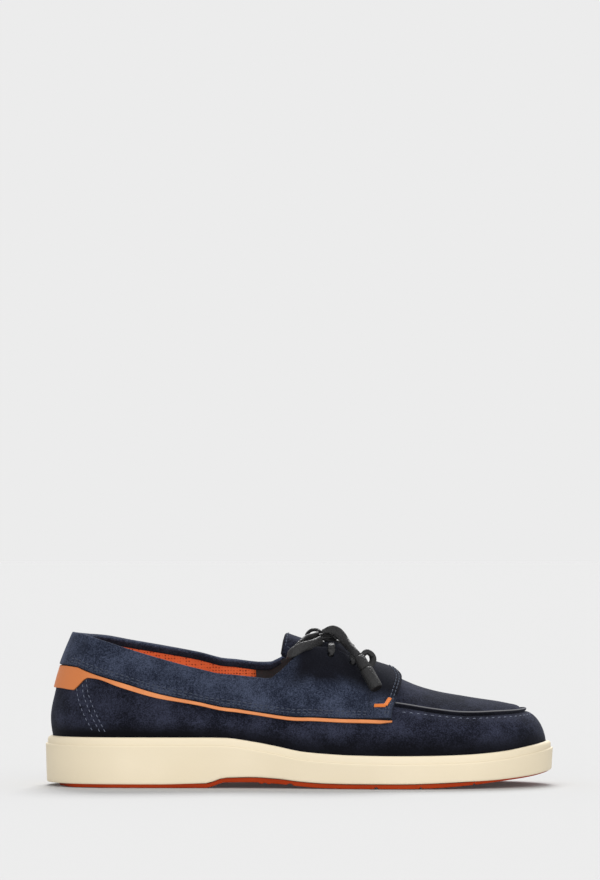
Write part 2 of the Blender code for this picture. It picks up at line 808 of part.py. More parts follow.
def build_tongue():
    """A padded strip under the laces that follows the instep from under the bridge to its free end."""

    def pair(share, across):
        side = "lateral" if across < 0 else "medial"
        reach = abs(across) * TONGUE.at("half", share) * BALL_WIDTH
        ends = wall_point("lateral", share, 1), wall_point("medial", share, 1)
        half = abs(ends[0].y - ends[1].y) / 2
        top = crown_point(side, share, reach / half)
        if across:
            normal = crown_normal(side, share, reach / half)
        else:
            both = [crown_normal(s, share, 0.01) for s in ("lateral", "medial")]
            normal = (both[0] + both[1]).normalized()
        return (
            top - normal * (UPPER_WALL + TONGUE_CLEARANCE + TONGUE_WALL),
            top - normal * (UPPER_WALL + TONGUE_CLEARANCE),
        )

    rows = []
    for step in spread(0.0, 1.0, 9):
        row = []
        for across in spread(-1.0, 1.0, 8):
            end = TONGUE_END - TONGUE_END_BOW * (1 - across**2) * (1 - step)
            row.append(pair(TONGUE_FRONT + (end - TONGUE_FRONT) * (1 - step), across))
        rows.append(row)
    return shell("tongue", [rows], TONGUE_SUEDE)


def smooth_route(points, steps):
    """Points read from a smooth curve through a route, in metres."""
    route = [Vector(point) / 1000 for point in points]
    padded = [2 * route[0] - route[1]] + route + [2 * route[-1] - route[-2]]
    line = []
    for a, b, c, d in zip(padded, padded[1:], padded[2:], padded[3:]):
        for i in range(steps):
            t = i / steps
            line.append(
                0.5
                * (2 * b + (c - a) * t + (2 * a - 5 * b + 4 * c - d) * t**2
                   + (3 * b - a - 3 * c + d) * t**3)
            )
    return line + [route[-1]]


def build_lace_stretch(name):
    """A free stretch of the lace as a plain tube."""
    curve = bpy.data.curves.new(name, "CURVE")
    curve.dimensions = "3D"
    curve.bevel_depth = LACE_WIDTH * 0.38
    curve.bevel_resolution = 1
    curve.use_fill_caps = True
    line = smooth_route(LACE_ROUTES[name], 2)
    spline = curve.splines.new("POLY")
    spline.points.add(len(line) - 1)
    for point, place in zip(spline.points, line):
        point.co = (*place, 1)
    curve.materials.append(LACE_LEATHER)
    made = bpy.data.objects.new(name, curve)
    SHOE.objects.link(made)
    return made


def build_lace_knot():
    bm = bmesh.new()
    bmesh.ops.create_uvsphere(bm, u_segments=12, v_segments=8, radius=1)
    radii = Matrix.Diagonal((*(Vector(LACE_KNOT_RADII) / 1000), 1))
    bm.transform(Matrix.Translation(Vector(LACE_KNOT) / 1000) @ radii)
    return as_object(bm, "lace_knot", LACE_LEATHER)


def build_lace_tip(name):
    """A barrel of lace wound round its own end: a short narrow neck and a longer wide body."""
    top, foot = (Vector(point) / 1000 for point in LACE_TIPS[name])
    length = (foot - top).length
    profile = (
        (0.0, 0.0), (0.62, 0.0), (0.80, 0.06), (0.80, 0.35), (0.70, 0.37),
        (1.00, 0.41), (1.00, 0.94), (0.86, 1.0), (0.0, 1.0),
    )
    radius = LACE_TIP_DIAMETER / 2
    mesh = bpy.data.meshes.new(name)
    points = [(radius * r, 0, -length * z) for r, z in profile]
    mesh.from_pydata(points, [(i, i + 1) for i in range(len(points) - 1)], [])
    mesh.materials.append(LACE_LEATHER)
    made = bpy.data.objects.new(name, mesh)
    SHOE.objects.link(made)
    made.location = top
    made.rotation_mode = "QUATERNION"
    made.rotation_quaternion = Vector((0, 0, -1)).rotation_difference(foot - top)
    modifier(
        made,
        "SCREW",
        "turned",
        steps=10,
        render_steps=10,
        use_merge_vertices=True,
        merge_threshold=0.0001,
    )
    return made


def build_lace_bar(name, share):
    """A flat stretch of the lace across the throat, from eyelet to eyelet over both facings."""
    lift = LASTED_GAP + SADDLE_WALL + GAP + LACE_THICKNESS / 2
    half = []
    for side in ("lateral", "medial"):
        edge = lifted(side, share, 2, lift)
        out = lifted(side, share, 1.87, lift + LACE_REST)
        half.append([out, edge + Vector((0, 0, LACE_REST))])
    middle = (half[0][1] + half[1][1]) / 2
    line = [half[0][0], half[0][1], middle, half[1][1], half[1][0]]
    line = smooth_route([point * 1000 for point in line], 3)
    steps = [upper_point(side, share + 0.01, 2) - upper_point(side, share - 0.01, 2)
             for side in ("lateral", "medial")]
    across = (steps[0] + steps[1]).normalized() * LACE_WIDTH / 2
    rows = []
    for i, point in enumerate(line):
        heading = (line[min(i + 1, len(line) - 1)] - line[max(i - 1, 0)]).normalized()
        up = across.cross(heading).normalized() * LACE_THICKNESS / 2
        rows.append(
            [point + across + up, point + across - up, point - across - up, point - across + up]
        )
    return tube(name, rows, LACE_LEATHER)


def tube(name, rows, material):
    """A closed body through rings of points, with a flat face at each end."""
    bm = bmesh.new()
    for row, following in zip(rows, rows[1:]):
        add_grid(bm, [row + row[:1], following + following[:1]])
    for row in (rows[0], rows[-1]):
        bm.faces.new([bm.verts.new(point) for point in row])
    return joined(bm, name, material)


def upper_grids(point):
    """The whole upper as grids of point(side, share, w): the walls right round, then the apron."""
    walls = [-1.0] + spread(0.0, 1.0, 5)
    tops = spread(1.0, 2.0, 4)
    across = spread(2.0, 3.0, 3)
    grids = [[[point(side, s, w) for w in walls] for side, s in around(STATIONS)]]
    grids.append([[point(side, s, w) for w in tops] for side, s in around(REAR)])
    for side in ("lateral", "medial"):
        line = tops + across[1:]
        grids.append([[point(side, s, w) for w in line] for s in FRONT])
    return grids


def build_upper():
    """The hollow upper: heel, quarters, facings, vamp and apron in one wall."""

    bm = bmesh.new()
    for rows in upper_grids(upper_point):
        add_grid(bm, rows)
    made = joined(bm, "upper", UPPER_SUEDE)
    modifier(
        made,
        "SOLIDIFY",
        "wall",
        thickness=UPPER_WALL,
        offset=-1,
        use_even_offset=True,
        use_quality_normals=True,
    )
    punch_eyelets(made)
    return made


# Scene.


def clear_scene():
    for made in list(bpy.data.objects):
        bpy.data.objects.remove(made, do_unlink=True)


def new_collection(name):
    made = bpy.data.collections.new(name)
    bpy.context.scene.collection.children.link(made)
    return made


clear_scene()
SHOE = new_collection("boat_shoe")
CUTTERS = new_collection("cutters")

OUTSOLE_RUBBER = material("outsole rubber", (0.25, 0.045, 0.012), 0.7)
MIDSOLE_RUBBER = material("midsole rubber", (0.80, 0.74, 0.60), 0.6)
UPPER_SUEDE = material("upper suede", (0.020, 0.027, 0.052), 0.95)
SADDLE_SUEDE = material("saddle suede", (0.040, 0.050, 0.080), 0.95)
STRIP_LEATHER = material("strip leather", (0.60, 0.19, 0.06), 0.8)
LINING_LEATHER = material("lining leather", (0.50, 0.10, 0.02), 0.8)
SEAM_SUEDE = material("seam suede", (0.010, 0.012, 0.022), 0.9)
TONGUE_SUEDE = material("tongue suede", (0.025, 0.032, 0.058), 0.95)
LACE_LEATHER = material("lace leather", (0.022, 0.022, 0.024), 0.6)

build_outsole()
build_midsole()
build_insole()
build_upper()
build_saddle()
build_heel_strip()
build_apron_seam()
build_tongue()
build_lace_bar("lace_bar_upper", EYELETS[0])
build_lace_bar("lace_bar_lower", EYELETS[1])
build_lace_knot()
for stretch in LACE_ROUTES:
    build_lace_stretch(stretch)
for tip in LACE_TIPS:
    build_lace_tip(tip)
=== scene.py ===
"""The looks of the boat shoe: dense suede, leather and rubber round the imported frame, the lace run through
its eyelets, stitches, floor, light and camera.

The shoe is for the right foot. +X points to the toe, -Y is its outer side and +Z is up. The sizes, tables
and surface functions repeat the part's own, so each piece lies where its solid does.
"""

import bisect
import math

import bmesh
import bpy
import numpy as np
from mathutils import Matrix, Vector


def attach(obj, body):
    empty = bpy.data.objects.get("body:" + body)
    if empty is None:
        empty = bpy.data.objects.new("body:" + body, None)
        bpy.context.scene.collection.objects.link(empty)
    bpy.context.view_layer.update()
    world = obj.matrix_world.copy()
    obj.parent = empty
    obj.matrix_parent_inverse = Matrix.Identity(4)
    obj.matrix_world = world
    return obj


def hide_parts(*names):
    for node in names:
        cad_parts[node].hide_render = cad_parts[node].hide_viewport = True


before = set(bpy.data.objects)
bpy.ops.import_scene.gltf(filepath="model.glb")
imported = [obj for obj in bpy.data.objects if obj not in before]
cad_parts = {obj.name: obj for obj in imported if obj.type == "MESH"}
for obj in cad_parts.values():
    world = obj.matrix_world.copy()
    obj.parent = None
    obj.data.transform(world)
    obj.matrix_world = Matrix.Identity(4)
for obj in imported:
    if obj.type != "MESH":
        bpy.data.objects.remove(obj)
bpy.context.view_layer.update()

# Camera, from the photograph: 600 by 880 pixels, the sole's back at column 46 and its front at 552.
CAMERA_DISTANCE = 2.5
CAMERA_ELEVATION = 2.2  # degrees
CAMERA_TILT = 3.61  # degrees up from the aim point, because the shoe stands low in the frame
AIM = Vector((0.0003, 0, 0.046))
SENSOR = 36  # millimetres, like the lens
LENS = 172.7

# Driving dimensions, in metres.
SOLE_LENGTH = 0.300
BALL_WIDTH = 0.106
HEEL_HEIGHT = 0.0292  # ground to the top of the sole's rim at the heel
COLLAR_RISE = 0.0595  # rim to the collar's top at the heel
INSTEP_RISE = 0.064  # rim to the crown of the instep where the tongue ends
SEAM_RISE = 0.030  # rim to the apron seam, at its highest

OUTSOLE_THICKNESS = 0.0024
ARCH_LIFT = 0.0033
TOE_SPRING = 0.0088
HEEL_SETBACK = 0.008  # how far the tread starts ahead of the heel's back
TREAD_INSET = 0.0022

WELT_HEIGHT = 0.0046  # the narrower band on top of the midsole
WELT_STEP = 0.0012
MIDSOLE_DRAFT = 0.0007
CUP_DEPTH = 0.0050  # rim down to the floor that the insole lies on
FEATHER_INSET = 0.0042  # sole outline to the outside of the upper
INSOLE_THICKNESS = 0.0038

UPPER_WALL = 0.0020
SADDLE_WALL = 0.0017
SADDLE_FRONT_WALL = 0.0031  # folded front edge of the saddle over the instep
STRIP_WALL = 0.0011
TONGUE_WALL = 0.0028
SEAM_WIDTH = 0.0019
SEAM_HEIGHT = 0.0026
EYELET_DIAMETER = 0.0042
LACE_WIDTH = 0.0045
LACE_THICKNESS = 0.0022
LACE_TIP_DIAMETER = 0.0081
LACE_REST = 0.0004  # how far a taut bar stands off the facing's edge
GAP = 0.0003  # clearance between pieces that meet
LASTED_GAP = 0.00045  # clearance between pieces that follow the same curved surface

EYELET_INSET = 0.0052  # edge of the facing to an eyelet's centre
TONGUE_CLEARANCE = 0.0007
SEAM_CLEARANCE = 0.0007
SEAM_TILT = 0.25  # lean of the lip away from the apron

# Places along the shoe, as shares of the sole's length.
THROAT = 0.628  # front end of the throat opening
SADDLE_FRONT = 0.676  # front edge of the saddle on the crown
SADDLE_BOW = 0.017  # how much further forward that edge runs on the sides
STRIP_END = 0.678
STRIP_SETBACK = 0.012  # the strip's top edge below the saddle's, in steps of the surface
EYELETS = (0.551, 0.592)
TONGUE_END = 0.466
TONGUE_FRONT = 0.655
TONGUE_END_BOW = -0.012
FACING_BLEND = (0.455, 0.510)  # stretch where the quarter turns into the instep

SIDES = ("lateral", "medial")
HEEL_MEETS, TOE_MEETS = 0.0015, 0.9985  # shares past which the two sides share one direction
CROWN_MEETS = 2.97  # and the step up the wall past which they do


class Table:
    """Rows of shares under named columns, joined by a smooth line that never overshoots a row."""

    def __init__(self, columns, *rows):
        self.along = [row[0] for row in rows]
        self.columns = {
            name: self.with_slopes([row[i] for row in rows])
            for i, name in enumerate(columns)
            if i
        }

    def with_slopes(self, values):
        """Each value with its slope, which is level where the values turn."""
        steps = [b - a for a, b in zip(self.along, self.along[1:])]
        rates = [(b - a) / s for a, b, s in zip(values, values[1:], steps)]
        slopes = [rates[0]]
        for (a, b), (s, t) in zip(zip(rates, rates[1:]), zip(steps, steps[1:])):
            if a * b <= 0:
                slopes.append(0.0)
            else:
                slopes.append(3 * (s + t) / ((2 * t + s) / a + (t + 2 * s) / b))
        return list(zip(values, slopes + [rates[-1]]))

    def at(self, column, share):
        """The column's value at this share."""
        rows = self.columns[column]
        share = min(max(share, self.along[0]), self.along[-1])
        i = min(bisect.bisect_right(self.along, share), len(rows) - 1) - 1
        step = self.along[i + 1] - self.along[i]
        t = (share - self.along[i]) / step
        (a, m), (b, n) = rows[i], rows[i + 1]
        rise = t * t * (3 - 2 * t)
        return a + (b - a) * rise + step * t * (1 - t) * (m * (1 - t) - n * t)


# Plan outline of the sole: distance from the heel as a share of SOLE_LENGTH, and the two edges from the
# heel's middle line as shares of BALL_WIDTH.
OUTLINE = (
    ("along", "lateral", "medial"),
    (0.000, 0.000, 0.000),
    (0.027, -0.216, 0.214),
    (0.067, -0.311, 0.306),
    (0.150, -0.365, 0.354),
    (0.267, -0.378, 0.342),
    (0.417, -0.392, 0.312),
    (0.567, -0.468, 0.385),
    (0.667, -0.509, 0.465),
    (0.750, -0.505, 0.487),
    (0.833, -0.455, 0.466),
    (0.917, -0.340, 0.384),
    (0.970, -0.203, 0.271),
    (1.000, 0.040, 0.040),
)

# Heights of the sole: its rim as a share of HEEL_HEIGHT, the hollow under the arch as a share of
# ARCH_LIFT, the raised toe as a share of TOE_SPRING and the tread's share of OUTSOLE_THICKNESS.
SOLE = Table(
    ("along", "rim", "arch", "spring", "tread"),
    (0.000, 1.000, 0.00, 0.00, 1.00),
    (0.317, 1.000, 0.00, 0.00, 1.00),
    (0.357, 0.993, 0.96, 0.00, 1.00),
    (0.407, 0.925, 1.00, 0.00, 1.10),
    (0.457, 0.829, 0.75, 0.00, 1.10),
    (0.503, 0.732, 0.33, 0.00, 1.00),
    (0.553, 0.686, 0.05, 0.00, 1.00),
    (0.600, 0.662, 0.00, 0.00, 1.00),
    (0.693, 0.650, 0.00, 0.00, 1.00),
    (0.750, 0.654, 0.00, 0.04, 1.00),
    (0.820, 0.671, 0.00, 0.19, 0.82),
    (0.893, 0.725, 0.00, 0.45, 0.60),
    (0.953, 0.825, 0.00, 0.69, 0.45),
    (1.000, 0.910, 0.00, 1.00, 0.35),
)

# The line where the side wall turns onto the top of the foot. From the saddle forward it is the apron
# seam. Insets from the sole's outline are shares of BALL_WIDTH, its height a share of SEAM_RISE, bulge
# the wall's swelling between rim and seam as a share of BALL_WIDTH, and round goes from 0 for a
# straight wall to 1 for a quarter ellipse.
WALL = Table(
    ("along", "lateral", "medial", "height", "bulge", "round"),
    (0.000, 0.045, 0.045, 0.733, 0.014, 0.00),
    (0.150, 0.050, 0.048, 0.733, 0.012, 0.00),
    (0.267, 0.053, 0.050, 0.717, 0.010, 0.00),
    (0.367, 0.061, 0.046, 0.733, 0.008, 0.05),
    (0.447, 0.077, 0.046, 0.883, 0.006, 0.10),
    (0.507, 0.097, 0.060, 0.983, 0.005, 0.15),
    (0.557, 0.123, 0.078, 1.000, 0.004, 0.22),
    (0.600, 0.151, 0.108, 0.997, 0.003, 0.32),
    (0.627, 0.170, 0.129, 0.990, 0.003, 0.40),
    (0.667, 0.188, 0.160, 0.957, 0.003, 0.60),
    (0.693, 0.195, 0.170, 0.925, 0.003, 0.75),
    (0.757, 0.180, 0.166, 0.817, 0.003, 0.92),
    (0.813, 0.166, 0.158, 0.737, 0.003, 0.95),
    (0.893, 0.158, 0.155, 0.690, 0.002, 0.95),
    (0.947, 0.157, 0.157, 0.650, 0.001, 0.90),
    (1.000, 0.160, 0.160, 0.647, 0.000, 0.85),
)

# Crown of the instep and apron along the middle line, from the rim as a share of INSTEP_RISE, and how
# square its cross-section is.
CROWN = Table(
    ("along", "height", "square"),
    (0.430, 1.090, 2.9),
    (0.479, 1.075, 2.9),
    (0.508, 1.056, 2.85),
    (0.557, 1.005, 2.7),
    (0.600, 0.905, 2.6),
    (0.627, 0.848, 2.5),
    (0.667, 0.762, 2.4),
    (0.693, 0.694, 2.35),
    (0.738, 0.603, 2.3),
    (0.777, 0.552, 2.3),
    (0.817, 0.514, 2.3),
    (0.857, 0.473, 2.3),
    (0.893, 0.433, 2.3),
    (0.911, 0.405, 2.3),
    (0.930, 0.368, 2.2),
    (0.943, 0.300, 2.0),
)

# Edge of the collar and facings: insets from the outline as shares of BALL_WIDTH, heights above the rim
# as shares of COLLAR_RISE. Bow is the wall's swelling between seam line and edge, a share of BALL_WIDTH.
COLLAR = Table(
    ("along", "lateral", "medial", "lateral_height", "medial_height", "bow"),
    (0.000, 0.165, 0.165, 1.003, 1.003, 0.012),
    (0.052, 0.150, 0.150, 1.003, 1.000, 0.012),
    (0.074, 0.132, 0.132, 0.992, 0.985, 0.012),
    (0.112, 0.112, 0.108, 0.937, 0.966, 0.010),
    (0.165, 0.098, 0.092, 0.850, 0.917, 0.008),
    (0.228, 0.088, 0.074, 0.755, 0.862, 0.006),
    (0.300, 0.088, 0.060, 0.658, 0.795, 0.004),
    (0.357, 0.096, 0.056, 0.602, 0.733, 0.003),
    (0.405, 0.112, 0.060, 0.608, 0.738, 0.002),
    (0.440, 0.116, 0.088, 0.622, 0.765, 0.002),
    (0.460, 0.128, 0.119, 0.700, 0.825, 0.002),
    (0.480, 0.161, 0.146, 0.830, 0.910, 0.002),
    (0.501, 0.210, 0.185, 0.945, 0.975, 0.002),
    (0.530, 0.259, 0.229, 0.990, 1.010, 0.002),
    (0.557, 0.298, 0.267, 0.990, 1.010, 0.002),
    (0.600, 0.337, 0.303, 0.900, 0.900, 0.002),
    (0.628, 0.363, 0.323, 0.830, 0.830, 0.002),
)

# Lower edges of the saddle and of the strip under it, from the rim as shares of COLLAR_RISE.
LOWER_EDGES = Table(
    ("along", "saddle", "strip"),
    (0.018, 0.694, 0.469),
    (0.049, 0.682, 0.455),
    (0.058, 0.672, 0.490),
    (0.080, 0.640, 0.575),
    (0.098, 0.613, 0.568),
    (0.149, 0.542, 0.486),
    (0.224, 0.430, 0.380),
    (0.298, 0.352, 0.314),
    (0.365, 0.293, 0.255),
    (0.406, 0.294, 0.258),
    (0.455, 0.305, 0.266),
    (0.530, 0.345, 0.304),
    (0.603, 0.347, 0.306),
    (0.690, 0.336, 0.300),
)

# Routes of the lace's free stretches in the shoe's own frame, in millimetres.
LACE_ROUTES = {
    "lace_loop_near": (
        (10.6, -3.8, 87.5), (8.0, -8.2, 86.8), (3.8, -13.4, 85.7), (0.6, -18.7, 83.1),
        (-2.4, -22.0, 79.8), (-5.2, -23.8, 77.7), (-6.3, -26.1, 77.1), (-4.4, -28.3, 78.1),
        (-1.0, -28.0, 80.1), (2.4, -26.0, 82.0), (6.0, -22.4, 82.6), (10.0, -16.0, 83.8),
        (12.8, -9.0, 85.0),
    ),
    "lace_loop_far": (
        (12.6, 3.6, 89.6), (10.2, 6.4, 91.0), (6.8, 9.6, 90.6), (4.4, 13.0, 88.0),
        (5.0, 15.6, 85.4), (8.4, 14.4, 85.2), (12.0, 11.2, 85.6), (14.6, 7.8, 86.4),
    ),
    "lace_end_near": (
        (13.6, -6.4, 90.1), (17.8, -6.8, 91.1), (21.5, -8.0, 90.4), (24.6, -10.0, 87.8),
        (27.2, -13.0, 84.2), (29.7, -17.6, 81.3), (32.3, -22.3, 78.6), (34.63, -24.74, 76.27),
    ),
    "lace_end_far": (
        (25.6, -0.5, 87.4), (27.6, 3.5, 85.0), (29.3, 8.5, 82.6), (30.2, 13.0, 82.0),
        (30.8, 17.5, 81.2), (31.6, 22.0, 78.0), (32.5, 25.6, 74.8), (33.29, 28.3, 71.47),
    ),
    "lace_curl_near": (
        (36.7, -21.4, 76.5), (39.2, -20.4, 78.6), (41.9, -19.5, 77.4), (43.1, -19.6, 74.6),
        (42.4, -21.3, 72.0), (40.4, -24.0, 70.3),
    ),
}
LACE_KNOT = (17.8, -1.0, 87.5)
LACE_KNOT_RADII = (6.2, 5.2, 2.6)
LACE_TIPS = {
    "lace_tip_near": ((34.9, -25.0, 75.8), (45.3, -35.3, 57.6)),
    "lace_tip_far": ((33.5, 28.6, 71.0), (40.5, 38.8, 55.2)),
}

# Half-width of the tongue as a share of BALL_WIDTH.
TONGUE = Table(
    ("along", "half"),
    (0.466, 0.215),
    (0.500, 0.222),
    (0.560, 0.200),
    (0.620, 0.165),
    (0.655, 0.130),
)


def closed_spline(points):
    """The slopes that make a smooth closed curve through the points, and its steps."""
    points = np.array(points)
    steps = np.linalg.norm(np.roll(points, -1, axis=0) - points, axis=1)
    size = len(points)
    matrix = np.zeros((size, size))
    right = np.zeros((size, 2))
    for i in range(size):
        before, after = steps[i - 1], steps[i]
        last, following = points[i - 1], points[(i + 1) % size]
        matrix[i, i - 1] += 1 / before
        matrix[i, i] += 2 / before + 2 / after
        matrix[i, (i + 1) % size] += 1 / after
        right[i] = 3 * ((points[i] - last) / before**2 + (following - points[i]) / after**2)
    return points, np.linalg.solve(matrix, right), steps


def plan_side(side):
    """A dense line of (along, across, outward x, outward y) from heel to toe on one side, in metres."""
    rows = OUTLINE[1:]
    loop = [(row[0], row[1]) for row in rows] + [(row[0], row[2]) for row in rows[-2:0:-1]]
    loop = [(along * SOLE_LENGTH, across * BALL_WIDTH) for along, across in loop]
    points, slopes, steps = closed_spline(loop)
    half = len(rows) - 1
    spans = range(half) if side == "lateral" else range(len(loop) - 1, half - 1, -1)
    line = []
    for span in spans:
        a, b = points[span], points[(span + 1) % len(loop)]
        m, n, step = slopes[span], slopes[(span + 1) % len(loop)], steps[span]
        times = np.linspace(0, 1, 25)
        if side == "medial":
            times = times[::-1]
        for t in times[bool(line) :]:
            place = (
                (2 * t**3 - 3 * t**2 + 1) * a
                + (t**3 - 2 * t**2 + t) * step * m
                + (3 * t**2 - 2 * t**3) * b
                + (t**3 - t**2) * step * n
            )
            heading = (
                6 * (t**2 - t) * (a - b) / step
                + (3 * t**2 - 4 * t + 1) * m
                + (3 * t**2 - 2 * t) * n
            )
            heading = heading / np.linalg.norm(heading)
            line.append((place[0], place[1], heading[1], -heading[0]))
    return np.array(line)


PLAN = {side: plan_side(side) for side in SIDES}
PLAN_MIDDLE = (PLAN["lateral"][:, 1].min() + PLAN["medial"][:, 1].max()) / 2


def outline(side, share):
    """Plan point and outward direction on the sole's outline, at this share of its length."""
    line = PLAN[side]
    along = share * SOLE_LENGTH
    values = [np.interp(along, line[:, 0], line[:, i]) for i in (1, 2, 3)]
    outward = Vector((values[1], values[2], 0)).normalized()
    return Vector((along - SOLE_LENGTH / 2, values[0] - PLAN_MIDDLE, 0)), outward


def share_of(point):
    """How far along the shoe a point lies."""
    return point.x / SOLE_LENGTH + 0.5


def at_height(point, height):
    return Vector((point.x, point.y, height))


def ground_line(share):
    """Underside of the tread."""
    return ARCH_LIFT * SOLE.at("arch", share) + TOE_SPRING * SOLE.at("spring", share)


def tread_top(share):
    """Top of the tread, which the midsole stands on."""
    return ground_line(share) + OUTSOLE_THICKNESS * SOLE.at("tread", share)


def rim(share):
    """Height of the midsole's rim."""
    return HEEL_HEIGHT * SOLE.at("rim", share)


def blend(share, low, high):
    """A smooth step from 0 at low to 1 at high."""
    t = min(max((share - low) / (high - low), 0), 1)
    return t * t * (3 - 2 * t)


def inward(side, share, inset):
    """The plan point this far inside the outline."""
    point, outward = outline(side, share)
    return point - outward * inset


def wall_point(side, share, w):
    """A point on the side wall: w is 0 at the sole's rim and 1 at the seam line."""
    roundness = WALL.at("round", share)
    seam_inset = BALL_WIDTH * WALL.at(side, share)
    height = (1 - roundness) * w + roundness * math.sin(w * math.pi / 2)
    lean = (1 - roundness) * height + roundness * (1 - math.sqrt(max(1 - height**2, 0)))
    inset = FEATHER_INSET + (seam_inset - FEATHER_INSET) * lean
    inset -= BALL_WIDTH * WALL.at("bulge", share) * math.sin(math.pi * w)
    point = inward(side, share, inset)
    seam_share = share_of(inward(side, share, seam_inset))
    seam = rim(seam_share) + SEAM_RISE * WALL.at("height", seam_share)
    low = rim(share_of(point))
    return at_height(point, low + (seam - low) * height)


def seam_ends(share):
    """The seam line's points on both sides."""
    return [wall_point(side, share, 1) for side in SIDES]


def crown_point(side, share, across):
    """A point on the instep or apron: across is 1 at the seam line and 0 on the middle line."""
    ends = seam_ends(share)
    t = (1 - across) / 2 if side == "lateral" else (1 + across) / 2
    point = ends[0].lerp(ends[1], t)
    middle = share_of(ends[0].lerp(ends[1], 0.5))
    crown = rim(middle) + INSTEP_RISE * CROWN.at("height", middle)
    rise = max(crown - (ends[0].z + ends[1].z) / 2, 0)
    point.z += rise * (1 - across ** CROWN.at("square", middle))
    return point


def edge_across(side, share):
    """Where the throat's edge runs on the instep, from 1 at the seam line to 0 at the middle."""
    share = min(share, THROAT)
    inset = BALL_WIDTH * COLLAR.at(side, share)
    edge = inward(side, share, inset)
    ends = seam_ends(share)
    middle = (ends[0].y + ends[1].y) / 2
    half = abs(ends[0].y - ends[1].y) / 2
    return min(abs(edge.y - middle) / half, 1)


def collar_point(side, share, t):
    """A point between the seam line, at 0, and the collar's edge, at 1."""
    seam_inset = BALL_WIDTH * WALL.at(side, share)
    edge_inset = BALL_WIDTH * COLLAR.at(side, share)
    edge_share = share_of(inward(side, share, edge_inset))
    edge = rim(edge_share) + COLLAR_RISE * COLLAR.at(side + "_height", edge_share)
    seam = wall_point(side, share, 1).z
    inset = seam_inset + (edge_inset - seam_inset) * t
    inset -= BALL_WIDTH * COLLAR.at("bow", share) * math.sin(math.pi * t)
    return at_height(inward(side, share, inset), seam + (edge - seam) * t)


def upper_point(side, share, w):
    """The upper's outer surface. w runs from -1 at its lower edge to 0 at the rim, 1 at the seam line,
    2 at the edge of the collar or throat and, in front of the throat, 3 on the middle line."""
    if w <= 0:
        point = inward(side, share, FEATHER_INSET)
        return at_height(point, rim(share_of(point)) + w * (CUP_DEPTH - GAP))
    if w <= 1:
        return wall_point(side, share, w)
    turned = blend(share, *FACING_BLEND)
    if turned == 0:
        return collar_point(side, share, w - 1)
    across = edge_across(side, share)
    if w > 2:
        return crown_point(side, share, across * (3 - w))
    ahead = crown_point(side, share, 1 + (across - 1) * (w - 1))
    if turned == 1:
        return ahead
    return collar_point(side, share, w - 1).lerp(ahead, turned)


def upper_normal(side, share, w):
    """Outward direction of the surface, from its neighbours a little along and across."""
    along, across = 0.004, 0.04
    ends = [min(max(share + step, HEEL_MEETS), TOE_MEETS) for step in (-along, along)]
    rows = [min(max(w + step, 0.0 if w > 0 else -1), 3) for step in (-across, across)]
    ahead = upper_point(side, ends[1], w) - upper_point(side, ends[0], w)
    if w >= 1 and share < THROAT:
        rows[1] = min(rows[1], 2)
    up = upper_point(side, share, rows[1]) - upper_point(side, share, rows[0])
    normal = ahead.cross(up)
    if side == "medial":
        normal = -normal
    return normal.normalized()


def w_at_height(side, share, above_rim):
    """The w at which the side reaches this height above the rim, in metres."""
    low, high = 0.0, 2.0
    for _ in range(24):
        w = (low + high) / 2
        point = upper_point(side, share, w)
        if point.z - rim(share_of(point)) < above_rim:
            low = w
        else:
            high = w
    return low


def spread(first, last, count):
    """Values from first to last in this many even steps."""
    return [first + (last - first) * i / count for i in range(count + 1)]


def span(side, share, low, high):
    """Metres of the surface for one step of w, between these two places."""
    return (upper_point(side, share, high) - upper_point(side, share, low)).length / (high - low)


def eyelet(side, share):
    """Centre of an eyelet on the upper's surface, and the direction it is punched in."""
    w = 2 - EYELET_INSET / span(side, share, 1.8, 2)
    return upper_point(side, share, w), upper_normal(side, share, w)


def crown_normal(side, share, across):
    """Outward direction on the instep, also where the upper is cut away over the tongue."""
    step = 0.01
    ahead = crown_point(side, share + step, across) - crown_point(side, share - step, across)
    low, high = across + step, max(across - step, 0)
    up = crown_point(side, share, high) - crown_point(side, share, low)
    normal = ahead.cross(up)
    return (-normal if side == "medial" else normal).normalized()


def smooth_route(points, steps):
    """Points read from a smooth curve through a route, in metres."""
    route = [Vector(point) / 1000 for point in points]
    padded = [2 * route[0] - route[1]] + route + [2 * route[-1] - route[-2]]
    line = []
    for a, b, c, d in zip(padded, padded[1:], padded[2:], padded[3:]):
        for i in range(steps):
            t = i / steps
            line.append(
                0.5
                * (2 * b + (c - a) * t + (2 * a - 5 * b + 4 * c - d) * t**2
                   + (3 * b - a - 3 * c + d) * t**3)
            )
    return line + [route[-1]]


# Meshes.

SKIN = 0.0003  # thickness given to an open panel
WELD = 2e-6
ALONG = 110  # steps along the shoe
UP = Vector((0, 0, 1))
SPINE = ((-0.10, 0.09), 0.035)  # the shoe's middle line: its two ends and its height


def dense(first=0.0, last=1.0, *kept, count=ALONG):
    """Shares along the shoe, close together at its round ends, with these places kept."""
    even = [(1 - math.cos(math.pi * i / count)) / 2 for i in range(count + 1)]
    kept = [share for share in kept if first <= share <= last] + [first, last]
    even = [s for s in even if first < s < last and min(abs(s - k) for k in kept) > 0.002]
    return sorted(set(even + kept))


def both_sides(shares):
    """(side, share) once round, from the lateral front past the heel to the medial front."""
    return [("lateral", s) for s in reversed(shares)] + [("medial", s) for s in shares]


def around(count):
    """The angles of one turn."""
    return [2 * math.pi * i / count for i in range(count)]


def shown(name, data):
    """A new object in the scene."""
    made = bpy.data.objects.new(name, data)
    bpy.context.scene.collection.objects.link(made)
    return made


def mesh_from(name, bm):
    mesh = bpy.data.meshes.new(name)
    bm.to_mesh(mesh)
    bm.free()
    return mesh


